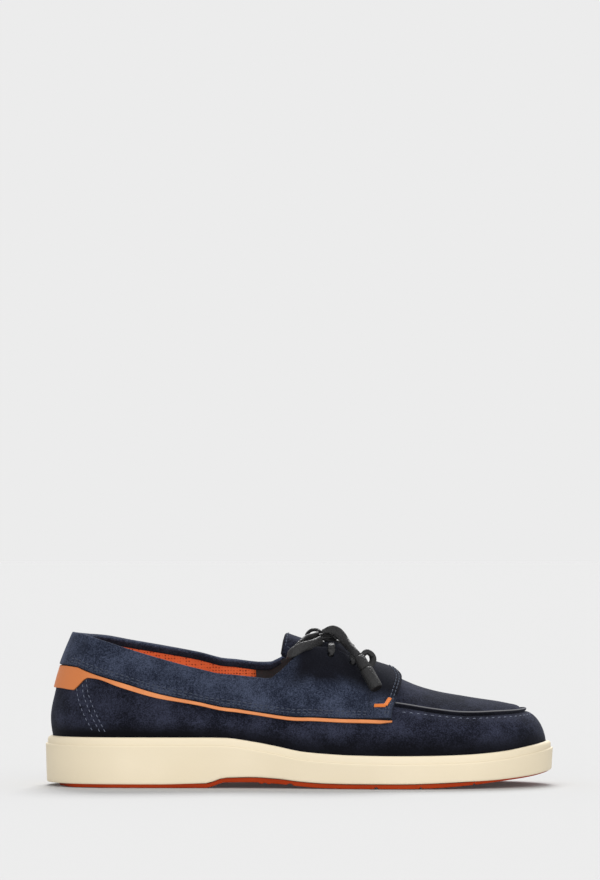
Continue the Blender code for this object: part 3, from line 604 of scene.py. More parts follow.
class Piece:
    """A mesh under way: grids of points, with a shade from 0 to 1 stored on each point: painted shade, partly
    burnish, and on the lip a painted highlight.
    """

    def __init__(self, name):
        self.name = name
        self.bm = bmesh.new()
        self.shade = self.bm.verts.layers.float.new("shade")

    def grid(self, rows, shades=None, closed=False):
        """Faces between rows of points. Shades is one list for every row, or a list of such lists."""
        made = []
        for i, row in enumerate(rows):
            tones = shades[i] if shades and isinstance(shades[0], list) else shades
            line = []
            for j, point in enumerate(row):
                vert = self.bm.verts.new(point)
                vert[self.shade] = tones[j] if tones else 0.0
                line.append(vert)
            made.append(line + line[:1] if closed else line)
        for row, following in zip(made, made[1:]):
            for i in range(len(row) - 1):
                self.cap((row[i], following[i], following[i + 1], row[i + 1]))
        return made

    def cap(self, line):
        self.bm.faces.new(line).smooth = True

    def tube(self, rings, shades=None):
        """Rings joined to a closed body, with a face on each end."""
        ends = self.grid(rings, shades, closed=True)
        self.cap(ends[0][:-1])
        self.cap(ends[-1][:-1])

    def outward(self, sign=1):
        """Turns the faces away from the shoe's middle line, or towards it for a sign of -1."""
        bmesh.ops.recalc_face_normals(self.bm, faces=self.bm.faces)
        (rear, front), height = SPINE
        total = 0.0
        for face in self.bm.faces:
            middle = face.calc_center_median()
            away = middle - Vector((min(max(middle.x, rear), front), 0, height))
            total += face.normal.dot(away) * face.calc_area()
        if total * sign < 0:
            bmesh.ops.reverse_faces(self.bm, faces=self.bm.faces)

    def join(self, distance=WELD):
        """Welds the grids where they meet and turns their faces outward."""
        bmesh.ops.remove_doubles(self.bm, verts=self.bm.verts, dist=distance)
        self.outward()

    def done(self, material, weld=True, sharp=40):
        """The finished object. Threads and strands aren't welded, because their ends stay apart."""
        if weld:
            bmesh.ops.remove_doubles(self.bm, verts=self.bm.verts, dist=WELD)
            bmesh.ops.dissolve_degenerate(self.bm, dist=WELD / 2, edges=self.bm.edges)
        else:
            bmesh.ops.recalc_face_normals(self.bm, faces=self.bm.faces)
        mesh = mesh_from(self.name, self.bm)
        mesh.materials.append(material)
        mesh.set_sharp_from_angle(angle=math.radians(sharp))
        return shown(self.name, mesh)


def applied(made, kind, **settings):
    """Adds a modifier and applies it, so that the piece is plain mesh."""
    added = made.modifiers.new(kind.lower(), kind)
    for key, value in settings.items():
        setattr(added, key, value)
    graph = bpy.context.evaluated_depsgraph_get()
    mesh = bpy.data.meshes.new_from_object(made.evaluated_get(graph), depsgraph=graph)
    made.modifiers.clear()
    old = made.data
    made.data = mesh
    bpy.data.meshes.remove(old)
    return made


def thickened(made, thickness=SKIN):
    """Gives a sheet its thickness, inward from its outside."""
    return applied(made, "SOLIDIFY", thickness=thickness, offset=-1, use_rim=True)


def finished(made, slot_name, *nodes):
    """Rides on the shoe's one body and stands for these nodes. Its slot name is not used."""
    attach(made, "root")
    if nodes:
        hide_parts(*nodes)
    return made


# Materials.


class Tree:
    """A material's nodes, with short calls for those that repeat."""

    def __init__(self, name, roughness, **settings):
        self.material = bpy.data.materials.new(name)
        self.material.use_nodes = True
        self.nodes = self.material.node_tree.nodes
        self.links = self.material.node_tree.links
        self.shader = self.nodes["Principled BSDF"]
        for key, value in {"Roughness": roughness, **settings}.items():
            self.give(self.shader.inputs[key.replace("_", " ")], value)
        self.place = self.nodes.new("ShaderNodeTexCoord").outputs["Object"]

    def give(self, socket, value):
        """Feeds a socket with another socket, a number, a vector or a colour."""
        if isinstance(value, bpy.types.NodeSocket):
            self.links.new(value, socket)
        else:
            socket.default_value = (*value, 1) if socket.type == "RGBA" else value

    def node(self, kind, settings=(), **inputs):
        """A node with these settings. Its inputs go by name, or by number after an underscore."""
        made = self.nodes.new("ShaderNode" + kind)
        for key, value in dict(settings).items():
            setattr(made, key, value)
        for key, value in inputs.items():
            self.give(made.inputs[int(key[1:]) if key[0] == "_" else key], value)
        return made

    def noise(self, scale, detail=3.0, rough=0.55, place=None):
        place = place or self.place
        made = self.node("TexNoise", Vector=place, Scale=scale, Detail=detail, Roughness=rough)
        return made.outputs["Fac"]

    def stretched(self, x, y, z):
        return self.node("Mapping", Vector=self.place, Scale=(x, y, z)).outputs[0]

    def along(self):
        return self.node("SeparateXYZ", Vector=self.place).outputs[0]

    def ramp(self, value, low, high, start=0.0, end=1.0):
        made = self.node("MapRange", {"clamp": True}, _0=value, _1=low, _2=high, _3=start, _4=end)
        return made.outputs[0]

    def math(self, operation, a, b=0.0):
        return self.node("Math", {"operation": operation}, _0=a, _1=b).outputs[0]

    def mixed(self, share, a, b):
        return self.node("Mix", {"data_type": "RGBA"}, _0=share, _6=a, _7=b).outputs[2]

    def colour(self, base, edge=None):
        """The base colour, turned to the edge colour by the shade stored on the points: painted shade, partly
        burnish, and on the lip a painted highlight.
        """
        if edge:
            shade = self.node("Attribute", {"attribute_name": "shade"}).outputs["Fac"]
            base = self.mixed(shade, base, edge)
        self.give(self.shader.inputs["Base Color"], base)

    def bump(self, height, depth, strength=1.0):
        """Relief of this depth in metres."""
        made = self.node("Bump", Height=height, Distance=depth, Strength=strength)
        linked = self.shader.inputs["Normal"].links
        if linked:
            self.links.new(linked[0].from_socket, made.inputs["Normal"])
        self.links.new(made.outputs[0], self.shader.inputs["Normal"])


def darker(colour, share):
    return tuple(share * c for c in colour)


def suede(name, dark, light, edge, grain=1.0):
    """Napped leather: clouds where the nap lies either way, a fine mottle and a short grain."""
    sheen = {"Sheen_Weight": 0.07, "Sheen_Roughness": 0.5, "Sheen_Tint": (0.55, 0.60, 0.78)}
    tree = Tree(name, 0.95, Specular_IOR_Level=0.06, **sheen)
    clouds = tree.noise(55, 3, 0.55)
    strokes = tree.noise(150, 3, 0.6, tree.stretched(0.6, 1, 1))
    mottle = tree.noise(760, 3, 0.8)
    fine = tree.noise(1700, 2, 0.7)
    share = tree.ramp(clouds, 0.36, 0.66, -0.08, 0.56)
    share = tree.math("ADD", share, tree.ramp(strokes, 0.36, 0.66, 0.0, 0.20))
    share = tree.math("ADD", share, tree.ramp(mottle, 0.34, 0.68, -0.28 * grain, 0.36 * grain))
    share = tree.math("ADD", share, tree.ramp(fine, 0.36, 0.66, -0.36 * grain, 0.54 * grain))
    share = tree.math("MAXIMUM", share, 0.0)
    tree.colour(tree.mixed(share, dark, light), edge)
    tree.bump(fine, 0.00016, 0.8)
    tree.bump(mottle, 0.00030, 0.8)
    tree.bump(strokes, 0.00045, 0.4)
    return tree.material


def leather(name, dark, light, roughness, scale, depth, rear=None, **settings):
    """Grained leather: rounded cells with creases between them. Rear is the colour behind the heel's tab."""
    tree = Tree(name, roughness, **settings)
    cells = tree.node("TexVoronoi", {"feature": "SMOOTH_F1"}, Vector=tree.place, Scale=scale)
    creases = tree.ramp(cells.outputs["Distance"], 0.15, 0.75, 1.0, 0.0)
    clouds = tree.noise(90, 3, 0.6)
    fine = tree.noise(scale * 2.2, 3, 0.7)
    shares = [tree.ramp(layer, 0.35, 0.65, 0.0, 0.5) for layer in (clouds, fine)]
    base = tree.mixed(tree.math("ADD", *shares), dark, light)
    if rear:
        base = tree.mixed(tree.ramp(tree.along(), -0.128, -0.100), rear, base)
    tree.colour(base, darker(dark, 0.45))
    tree.bump(creases, depth, 0.6)
    tree.bump(fine, depth * 0.6, 0.5)
    return tree.material


def rubber(name, dark, light, roughness, shine):
    """Matt rubber, with painted shade towards the heel and the toe."""
    tree = Tree(name, roughness, Specular_IOR_Level=shine)
    clouds = tree.noise(22, 2, 0.5)
    fine = tree.noise(900, 2, 0.6)
    base = tree.mixed(tree.ramp(clouds, 0.35, 0.65), dark, light)
    along = tree.math("ABSOLUTE", tree.along())
    # Painted shade towards both ends, which turn away from the lamps.
    base = tree.mixed(tree.ramp(along, 0.100, 0.146), base, darker(dark, 0.86))
    tree.colour(base, darker(dark, 0.62))
    tree.bump(fine, 0.00006, 0.5)
    return tree.material


def perforated(name, dark, light, hole):
    """Smooth lining leather pricked all over in a close grid."""
    tree = Tree(name, 0.6, Specular_IOR_Level=0.3)
    dots = tree.node("TexVoronoi", Vector=tree.stretched(1, 0.02, 1), Scale=560, Randomness=0.2)
    share = tree.ramp(dots.outputs["Distance"], 0.22, 0.34)
    clouds = tree.noise(60, 2, 0.6)
    tree.colour(tree.mixed(share, hole, tree.mixed(tree.ramp(clouds, 0.3, 0.7), dark, light)))
    tree.bump(share, 0.00025, 0.8)
    return tree.material


def thread(name, colour):
    """Twisted sewing thread."""
    tree = Tree(name, 0.7, Specular_IOR_Level=0.3)
    twist = tree.noise(1800, 2, 0.5, tree.stretched(1, 1, 0.4))
    tree.colour(tree.mixed(twist, darker(colour, 0.6), colour))
    tree.bump(twist, 0.0001, 0.6)
    return tree.material


SUEDE_DARK = suede("navy suede", (0.0045, 0.0050, 0.0092), (0.036, 0.040, 0.067), (0.003, 0.003, 0.0042), 0.9)
SUEDE_LIGHT = suede("saddle suede", (0.0095, 0.0125, 0.0230), (0.053, 0.065, 0.104), (0.0045, 0.0045, 0.0065))
# Its pale edge colour is the painted highlight along the lip's ridge.
LIP_SUEDE = suede("lip suede", (0.003, 0.003, 0.005), (0.012, 0.013, 0.020), (0.24, 0.24, 0.25))
STRIP_TAN = leather(
    "tan leather",
    (0.58, 0.190, 0.058),
    (0.72, 0.262, 0.090),
    0.62,
    700,
    0.00008,
    rear=(0.52, 0.158, 0.042),
    Specular_IOR_Level=0.35,
)
LACE_BLACK = leather(
    "lace leather",
    (0.003, 0.003, 0.0033),
    (0.022, 0.022, 0.0235),
    0.52,
    1100,
    0.00045,
    Specular_IOR_Level=0.35,
)
LINING_ORANGE = perforated("orange lining", (0.55, 0.088, 0.018), (0.68, 0.125, 0.030), (0.20, 0.025, 0.006))
LINING_BLACK = leather("black lining", (0.006, 0.006, 0.007), (0.016, 0.016, 0.018), 0.85, 900, 0.00008)
FOOTBED = leather("footbed leather", (0.50, 0.13, 0.035), (0.62, 0.19, 0.06), 0.6, 800, 0.00008)
MIDSOLE_CREAM = rubber("cream rubber", (0.765, 0.665, 0.485), (0.79, 0.69, 0.512), 0.55, 0.35)
TREAD_RED = rubber("red rubber", (0.36, 0.033, 0.005), (0.44, 0.048, 0.008), 0.7, 0.12)
THREAD_NAVY = thread("navy thread", (0.058, 0.070, 0.104))
THREAD_PALE = thread("pale navy thread", (0.15, 0.17, 0.23))
THREAD_ORANGE = thread("orange thread", (0.84, 0.235, 0.045))

# Upper.


def surface_normal(side, share, w):
    """Outward direction of the surface. Where the two sides meet they share one."""
    if HEEL_MEETS < share < TOE_MEETS and w < CROWN_MEETS:
        return upper_normal(side, share, w)
    inside = min(max(share, 0.002), 0.998)
    both = [upper_normal(s, inside, min(w, CROWN_MEETS)) for s in SIDES]
    return (both[0] + both[1]).normalized()


def offset(side, share, w, lift):
    """A point this far outside the upper's surface."""
    return upper_point(side, share, w) + surface_normal(side, share, w) * lift


def spot(side, share, w, lift):
    """The same point with its outward direction."""
    return offset(side, share, w, lift), surface_normal(side, share, w)


# Creases of the upper: where along the shoe and how far up the wall, their half length up the
# wall and half width along the shoe, how far they lean forward over that length, and their depth.
CREASES = (
    (0.705, 0.55, 0.42, 0.007, 0.020, 0.00045),
    (0.722, 0.50, 0.38, 0.006, 0.022, -0.00035),
    (0.752, 0.46, 0.36, 0.008, 0.026, 0.00040),
    (0.800, 0.50, 0.30, 0.011, -0.020, 0.00035),
    (0.866, 0.42, 0.30, 0.010, -0.024, 0.00030),
    (0.118, 0.34, 0.26, 0.009, 0.018, 0.00040),
    (0.255, 0.36, 0.22, 0.012, -0.016, 0.00030),
    (0.420, 0.38, 0.26, 0.010, 0.020, 0.00035),
    (0.575, 0.36, 0.24, 0.012, -0.022, 0.00035),
)
MEDIAL_SHIFT = 0.013  # the inner side has its creases this much further back


def crease(side, share, w):
    """Depth of the creases here."""
    shift = 0.0 if side == "lateral" else MEDIAL_SHIFT
    depth = 0.0
    for at, middle, reach, wide, lean, deep in CREASES:
        up = (w - middle) / reach
        off = (share - at + shift - lean * up) / wide
        depth += deep * math.exp(-off * off) * max(0.0, 1 - up * up)
    return depth


def upper_shade(share, w):
    """Painted shade: dark just above the sole, under the apron's lip and on top of the apron, and darker
    towards the heel.
    """
    vamp = blend(share, 0.66, 0.72)
    sole = 0.90 * (1 - blend(w, 0.02, 0.46)) if w < 1 else 0.0
    under_lip = 0.35 * vamp * max(0.0, 1 - abs(w - 0.98) / 0.10)
    apron = 0.30 * blend(w, 1.0, 1.2) * vamp
    heel = 0.22 * (1 - blend(share, 0.15, 0.36))
    return min(sole + under_lip + apron + heel, 1.0)


PUNCH_DEPTH = 0.016
PUNCH_REACH = 0.006  # the cut's new points lie this near to an eyelet along the shoe
PUNCH_FOOT = 0.064  # and above this height
PUNCH_SHADE = 0.9


def eyelet_cutter():
    """Rods that stand in the eyelets, to cut them out of a piece."""
    bm = bmesh.new()
    for side in SIDES:
        for share in EYELETS:
            place, direction = eyelet(side, share)
            bmesh.ops.create_cone(
                bm,
                cap_ends=True,
                segments=24,
                radius1=EYELET_DIAMETER / 2,
                radius2=EYELET_DIAMETER / 2,
                depth=PUNCH_DEPTH,
                matrix=Matrix.Translation(place) @ UP.rotation_difference(direction).to_matrix().to_4x4(),
            )
    return shown("eyelet_cutter", mesh_from("eyelet_cutter", bm))


CUTTER = eyelet_cutter()


def punched(made):
    """Cuts the eyelets. The cut's new points come without a shade, so they take that of the dark facings."""
    applied(made, "BOOLEAN", operation="DIFFERENCE", object=CUTTER, solver="EXACT")
    shade = made.data.attributes["shade"].data
    for vertex in made.data.vertices:
        near = min(abs(share_of(vertex.co) - at) * SOLE_LENGTH for at in EYELETS)
        if near < PUNCH_REACH and vertex.co.z > PUNCH_FOOT:
            shade[vertex.index].value = max(shade[vertex.index].value, PUNCH_SHADE)
    return made


def build_upper():
    """The whole upper in one wall: heel, quarters, facings, vamp and apron."""
    piece = Piece("upper_suede")

    def place(side, share, w):
        if 0 < w < 1:
            return offset(side, share, w, -crease(side, share, w))
        return upper_point(side, share, w)

    def add(places, columns):
        rows = [[place(side, share, w) for w in columns] for side, share in places]
        piece.grid(rows, [[upper_shade(share, w) for w in columns] for _, share in places])

    shares = dense(0, 1, THROAT)
    tops = spread(1.0, 2.0, 12)
    add(both_sides(shares), [-1.0, -0.5] + spread(0.0, 1.0, 20))
    add(both_sides([s for s in shares if s <= THROAT]), tops)
    for side in SIDES:
        add([(side, s) for s in shares if s >= THROAT], tops + spread(2.0, 3.0, 12)[1:])
    piece.join()
    made = piece.done(SUEDE_DARK)
    applied(made, "SOLIDIFY", thickness=UPPER_WALL, offset=-1, use_even_offset=True, use_quality_normals=True)
    return finished(punched(made), "upper_suede", "upper")


# Saddle.

SADDLE_TOP = LASTED_GAP + SADDLE_WALL
SADDLE_SOFT = 0.0005  # rounding of the saddle's cut edge
EDGE_SHADES = (1.0, 0.8, 0.35)  # darkening of that edge, from its foot to its outside: partly its own burnish, partly painted shade
FOLD_ENDS = (0.440, 0.500)  # stretch where the fold over the collar gives way to the facing's plain edge
MEASURE = 0.05  # step of w over which the surface is measured

# The saddle's upper edge where it is folded over the collar, and where it ends plainly at the facing: how far
# outside the upper its inner face lies, the rise of its rounded top, and how far it turns down inside.
FOLDED_EDGE = (-UPPER_WALL - 0.0013, 0.0010, 0.0036)
PLAIN_EDGE = (0.0002, 0.0009, 0.0008)


def lower_edge(panel, side, share):
    """The w of the lower edge of the saddle or the strip."""
    return w_at_height(side, share, COLLAR_RISE * LOWER_EDGES.at(panel, share))


def saddle_bow(w, low):
    """How much further forward the saddle's front edge runs here than on the crown."""
    return SADDLE_BOW * math.sin(math.pi * (3 - w) / (3 - low)) ** 2


def bridge_layers(step):
    """Inside and outside of the bridge over the upper, thicker from 0 at the throat to 1 at its fold."""
    folded = blend(step, 0, 1)
    near = LASTED_GAP * (1 + 0.6 * folded)
    return near, near + SADDLE_WALL + (SADDLE_FRONT_WALL - SADDLE_WALL) * folded


def saddle_lift(side, share, w):
    """Height of the saddle's outside over the upper."""
    front = SADDLE_FRONT + saddle_bow(w, lower_edge("saddle", side, share))
    return bridge_layers((share - THROAT) / (front - THROAT))[1]


def facing_shade(share, w):
    """The facings darken nearly black towards their edge: partly burnish, partly painted shade from the laces
    over them.
    """
    low = 1.14 - 0.16 * blend(share, 0.57, 0.65)
    return 0.95 * blend(w, low, low + 0.34) * blend(share, 0.455, 0.505)


def bridge_shade(step, w):
    """The bridge over the instep darkens nearly black towards its crown and its front edge: partly burnish,
    partly painted shade.
    """
    crown = facing_shade(THROAT + (SADDLE_FRONT - THROAT) * step, w)
    return min(crown + 0.40 * blend(step, 0.80, 1.0), 0.97)


def collar_section(side, share):
    """The saddle from its lower edge up the outside, over the collar and down inside, with shades."""
    low = lower_edge("saddle", side, share)
    soft = SADDLE_SOFT / span(side, share, low, low + MEASURE)
    high = 2 - 0.0004 / span(side, share, 1.9, 2)
    line = [
        (low, LASTED_GAP),
        (low, SADDLE_TOP - SADDLE_SOFT),
        (low + 0.35 * soft, SADDLE_TOP - 0.35 * SADDLE_SOFT),
        (low + soft, SADDLE_TOP),
    ]
    line += [(w, SADDLE_TOP) for w in spread(low + 1.5 * soft, high, 14)]
    points = [offset(side, share, w, lift) for w, lift in line]
    shades = [*EDGE_SHADES, 0.15] + [facing_shade(share, w) for w, _ in line[4:]]
    fold = 1 - blend(share, *FOLD_ENDS)
    edge, out = spot(side, share, 2, 0)
    up = (edge - upper_point(side, share, 1.9)).normalized()
    up = (up - out * up.dot(out)).normalized()
    inner, rise, down = (a * fold + b * (1 - fold) for a, b in zip(FOLDED_EDGE, PLAIN_EDGE))
    middle = (SADDLE_TOP + inner) / 2
    radius = (SADDLE_TOP - inner) / 2
    for angle in spread(0.0, math.pi, 9)[1:]:
        points.append(edge + out * (middle + radius * math.cos(angle)) + up * rise * math.sin(angle))
        shades.append(facing_shade(share, 2) * (1 - fold))
    # Painted shade where the edge turns down inside the shoe.
    for depth in spread(0.0, down, 4)[1:]:
        points.append(edge + out * (inner + 0.0002 * math.sin(depth / down * math.pi)) - up * depth)
        shades.append(0.5 + 0.4 * depth / down if fold > 0.5 else 0.85)
    return points, shades


def bridge_rows(side):
    """The bridge from the throat to its front edge, which rolls down over the last three steps."""
    steps = spread(0.0, 1.0, 12) + [1.004, 1.006, 1.006]
    rows, shades = [], []
    for i, step in enumerate(steps):
        low = lower_edge("saddle", side, THROAT + (SADDLE_FRONT - THROAT) * min(step, 1))
        near, top = bridge_layers(step)
        lower = (near, top - 0.0005, top - 0.00018)
        front = (top - 0.0002, top - 0.0007, near)
        columns = [low, low, low + 0.01, low + 0.025]
        columns += spread(low + 0.04, 2.0, 14) + spread(2.0, 3.0, 14)[1:]
        row, tones = [], []
        for j, w in enumerate(columns):
            share = THROAT + (SADDLE_FRONT + saddle_bow(w, low) - THROAT) * step
            lift = lower[j] if j < 3 else top
            if i >= len(steps) - 3:
                lift = min(lift, front[i - len(steps)])
            row.append(offset(side, share, w, lift))
            tones.append(max(EDGE_SHADES[j] if j < 3 else 0.0, bridge_shade(step, w)))
        rows.append(row)
        shades.append(tones)
    return rows, shades


def build_saddle():
    """The collar panel in lighter suede, folded over the collar, with the bridge over the instep."""
    piece = Piece("saddle_suede")
    shares = dense(0, THROAT, *FOLD_ENDS)
    sections = [collar_section(side, share) for side, share in both_sides(shares)]
    piece.grid([points for points, _ in sections], [shades for _, shades in sections])
    back = Vector((-0.0004, 0, 0))
    for side in SIDES:
        piece.grid(*bridge_rows(side))
        lip = []
        for w in spread(2.0, 3.0, 14):
            outer, inner = (offset(side, THROAT, w, lift) for lift in (SADDLE_TOP, LASTED_GAP))
            lip.append([outer, outer.lerp(inner, 0.3) + back, outer.lerp(inner, 0.7) + back, inner])
        # Painted shade, deeper down inside the throat.
        piece.grid(lip, [0.2, 0.5, 0.8, 1.0])
    piece.join(10 * WELD)
    return finished(punched(thickened(piece.done(SUEDE_LIGHT, sharp=60))), "saddle_suede", "saddle")


# Strip, lip, tongue and linings.

TAB_CORNERS = (0.049, 0.058, 0.080, 0.098)
STRIP_POINT = (0.022, 0.030)  # length of the strip's slanted end, and its width there in steps of w
LIP_SINK = 0.0002


def build_heel_strip():
    """The tan tab at the heel and the strip from it along both sides."""
    piece = Piece("tab_and_strip")
    lift = LASTED_GAP + STRIP_WALL
    rows = []
    for side, share in both_sides(dense(0, STRIP_END, *TAB_CORNERS)):
        top = lower_edge("saddle", side, share) - STRIP_SETBACK
        low = lower_edge("strip", side, share)
        low += (top - STRIP_POINT[1] - low) * blend(share, STRIP_END - STRIP_POINT[0], STRIP_END)
        line = [(low, LASTED_GAP), (low, lift - 0.0003), (low + 0.006, lift)]
        line += [(w, lift) for w in spread(low + 0.012, top - 0.012, 6)]
        line += [(top - 0.006, lift), (top, lift - 0.0003), (top, LASTED_GAP)]
        rows.append([offset(side, share, w, height) for w, height in line])
    # Painted shade along the lower edge and under the saddle's edge at the top.
    piece.grid(rows, [0.9, 0.55, 0.1] + [0.0] * 8 + [0.3, 0.6])
    for end in (rows[0], rows[-1]):
        piece.cap([piece.bm.verts.new(point) for point in end])
    piece.join()
    return finished(thickened(piece.done(STRIP_TAN, sharp=50)), "strip_leather", "heel_strip")


def build_lip():
    """The raised lip of the apron seam, a folded edge of suede with a painted highlight along its ridge."""
    piece = Piece("apron_lip")
    shares = dense(SADDLE_FRONT + SADDLE_BOW * 0.5, 1.0)
    rows, shades = [], []
    places = [("lateral", s) for s in shares] + [("medial", s) for s in shares[-2::-1]]
    for number, (side, share) in enumerate(places):
        out = outline(side, share)[1] if share < TOE_MEETS else Vector((1, 0, 0))
        up = (UP + out * SEAM_TILT).normalized()
        base = upper_point(side, share, 1) - up * LIP_SINK
        width = SEAM_WIDTH * 0.56 * (1 + 0.05 * math.sin(number * 1.9))
        height = SEAM_HEIGHT * (1 - 0.22 * blend(share, 0.90, 1.0))
        row, tones = [], []
        for angle in spread(-0.35 * math.pi, 1.35 * math.pi, 17):
            rise = height * (0.50 + 0.56 * math.sin(angle)) + SEAM_CLEARANCE * 0.5
            row.append(base + out * width * math.cos(angle) + up * rise)
            # Painted highlight along the top of the ridge.
            tones.append(0.9 * max(0.0, 1 - abs(angle - 0.33 * math.pi) / 0.60))
        rows.append(row)
        shades.append(tones)
    piece.tube(rows, shades)
    piece.join()
    return finished(piece.done(LIP_SUEDE), "seam_suede", "apron_seam")


TONGUE_REACH = Vector((-0.0016, 0, 0.0010))  # the free end curls back and up a little
TONGUE_CURLED = (0.02, 0.25)  # steps along the tongue over which that fades
TONGUE_SWOLLEN = (0.524, 0.624)  # where the swelling starts and ends, in shares of the sole's length
TONGUE_SWELL = 0.0056  # padding pressed up between the two bars of lace
TONGUE_BORDER = 0.84  # how far out the border is stitched
END_ROUNDING = (1.0, 0.55, 0.25, 0.08, 0.0)


def tongue_point(share, across, depth):
    """A point of the tongue: across from -1 to 1, and how deep below the facings' inside."""
    side = "lateral" if across < 0 else "medial"
    reach = abs(across) * TONGUE.at("half", share) * BALL_WIDTH
    ends = seam_ends(share)
    half = abs(ends[0].y - ends[1].y) / 2
    top = crown_point(side, share, reach / half)
    if abs(across) > 0.01:
        normal = crown_normal(side, share, reach / half)
    else:
        both = [crown_normal(s, share, 0.01) for s in SIDES]
        normal = (both[0] + both[1]).normalized()
    return top - normal * (UPPER_WALL + TONGUE_CLEARANCE + depth)


def tongue_share(across, step):
    """The share along the shoe, for a step of 0 at the free end and 1 at the front."""
    end = TONGUE_END - TONGUE_END_BOW * (1 - across**2)
    return end + (TONGUE_FRONT - end) * step


def tongue_place(across, step, depth):
    """A point of the tongue by its step, with the free end curled back."""
    curl = TONGUE_REACH * (1 - blend(step, *TONGUE_CURLED))
    return tongue_point(tongue_share(across, step), across, depth) + curl


def build_tongue():
    """The padded tongue: soft edges all round and a stitched border."""
    piece = Piece("tongue_suede")
    turns = spread(-1.0, 1.0, 32)
    rows, shades = [], []
    for i, step in enumerate([0.0, 0.0, 0.004, 0.012, 0.022] + spread(0.034, 1.0, 36)):
        row, tones = [], []
        for across in turns:
            edge = min((1 - abs(across)) / 0.09, 1)
            rounded = 1 - math.sqrt(max(1 - (1 - edge) ** 2, 0))
            depth = TONGUE_WALL * 0.5 * max(rounded, END_ROUNDING[min(i, 4)])
            swollen = blend(tongue_share(across, step), *TONGUE_SWOLLEN)
            swell = TONGUE_SWELL * math.sin(math.pi * swollen) ** 0.8 * (1 - across**2) ** 2
            row.append(tongue_place(across, step, depth - swell))
            # Painted shade: darker all over, more so towards the front under the facings and laces, darkest
            # at the edges.
            tones.append(0.8 if i < 3 or edge < 0.25 else 0.35 + 0.45 * blend(step, 0.15, 0.4))
        rows.append(row)
        shades.append(tones)
    piece.grid(rows, shades)
    under = []
    for step in spread(0.0, 1.0, 18):
        depths = [TONGUE_WALL * (0.5 + 0.5 * (1 - abs(across) ** 6)) for across in turns]
        under.append([tongue_place(across, step, depth) for across, depth in zip(turns, depths)])
    # Painted shade underneath.
    piece.grid(under, [0.8] * len(turns))
    piece.join()
    return finished(thickened(piece.done(SUEDE_DARK)), "tongue_suede", "tongue")


LINING_SPLIT = 0.414  # where the orange lining ends and the black one starts


def build_linings():
    """Orange perforated leather round the heel half, and black lining ahead of it."""

    def sheet(piece, places, columns, depth):
        piece.grid([[offset(side, share, w, -depth) for w in columns] for side, share in places])

    heel = Piece("heel_lining")
    sheet(heel, both_sides(dense(0.0, LINING_SPLIT)), spread(0.02, 1.93, 26), UPPER_WALL + 0.0007)
    heel.outward(-1)
    finished(thickened(heel.done(LINING_ORANGE), 0.0004), "lining_leather")
    front = Piece("front_lining")
    shares = dense(LINING_SPLIT - 0.004, 0.985, THROAT)
    depth = UPPER_WALL + 0.00025
    ahead = spread(0.05, 1.0, 12) + spread(1.0, 1.97, 10)[1:] + spread(2.0, 3.0, 10)
    for side in SIDES:
        sheet(front, [(side, s) for s in shares if s <= THROAT], spread(0.05, 1.97, 22), depth)
        sheet(front, [(side, s) for s in shares if s >= THROAT], ahead, depth)
    front.outward(-1)
    finished(punched(thickened(front.done(LINING_BLACK), 0.0002)), "lining_leather")


# Sole.


def carried(name, profile, material, shades):
    """A body whose side is profile(side, share) carried round the outline, with floors across its ends."""
    piece = Piece(name)
    shares = dense()
    piece.grid([profile(side, share) for side, share in both_sides(shares)], shades)
    for end in (0, -1):
        rows = []
        for share in shares:
            left, right = (profile(side, share)[end] for side in SIDES)
            rows.append([left.lerp(right, t) for t in spread(0.0, 1.0, 6)])
        piece.grid(rows, [shades[end]] * 7)
    piece.join()
    return piece.done(material)


def midsole_side(side, share):
    """From the underside up the drafted side, over the stepped band and down into the cup."""
    end = 1 - blend(share, 0.0, 0.05) + blend(share, 0.93, 0.99)
    hang = -0.0006 + 0.0009 * blend(share, 0.22, 0.36) * (1 - blend(share, 0.80, 0.90))
    steps = (
        (TREAD_INSET + 0.0002, "under", 0.0),
        (TREAD_INSET - 0.0003, "under", min(hang, 0)),
        (MIDSOLE_DRAFT + 0.0007, "under", hang - 0.0001),
        (MIDSOLE_DRAFT + 0.0003, "under", hang),
        (MIDSOLE_DRAFT + 0.0001, "under", hang + 0.0003),
        (MIDSOLE_DRAFT, "under", hang + 0.0007),
        (MIDSOLE_DRAFT * 0.96, "under", hang + 0.0016),
        (MIDSOLE_DRAFT * 0.5, "half", 0.0),
        (0.00006, "welt", -0.0011),
        (0.0, "welt", -0.0007),
        (0.00012, "welt", -0.00025),
        (0.0004, "welt", 0.0),
        (WELT_STEP - 0.0003, "welt", 0.0001),
        (WELT_STEP, "welt", 0.0005),
        (WELT_STEP, "rim", -0.0010 - 0.0014 * end),
        (WELT_STEP + 0.00015, "rim", -0.0004 - 0.0013 * end),
        (WELT_STEP + 0.0006, "rim", -0.00005 - 0.0009 * end),
        (WELT_STEP + 0.0014, "rim", -0.0004 * end),
        (FEATHER_INSET - GAP, "rim", 0.0),
        (FEATHER_INSET - GAP, "floor", 0.0),
    )
    points = []
    for inset, level, extra in steps:
        point = inward(side, share, inset)
        under, top = tread_top(share_of(point)) + GAP, rim(share_of(point))
        levels = {"under": under, "welt": top - WELT_HEIGHT, "rim": top, "floor": top - CUP_DEPTH}
        levels["half"] = (under + levels["welt"]) / 2
        points.append(at_height(point, levels[level] + extra))
    return points


def build_midsole():
    """The cream cupsole, shaded underneath, at its step and inside its cup."""
    shades = [0.5, 0.25, 0.1] + [0.0] * 9 + [0.25, 0.15] + [0.0] * 4 + [0.7, 1.0]
    made = carried("midsole_cream", midsole_side, MIDSOLE_CREAM, shades)
    return finished(made, "midsole_rubber", "midsole")


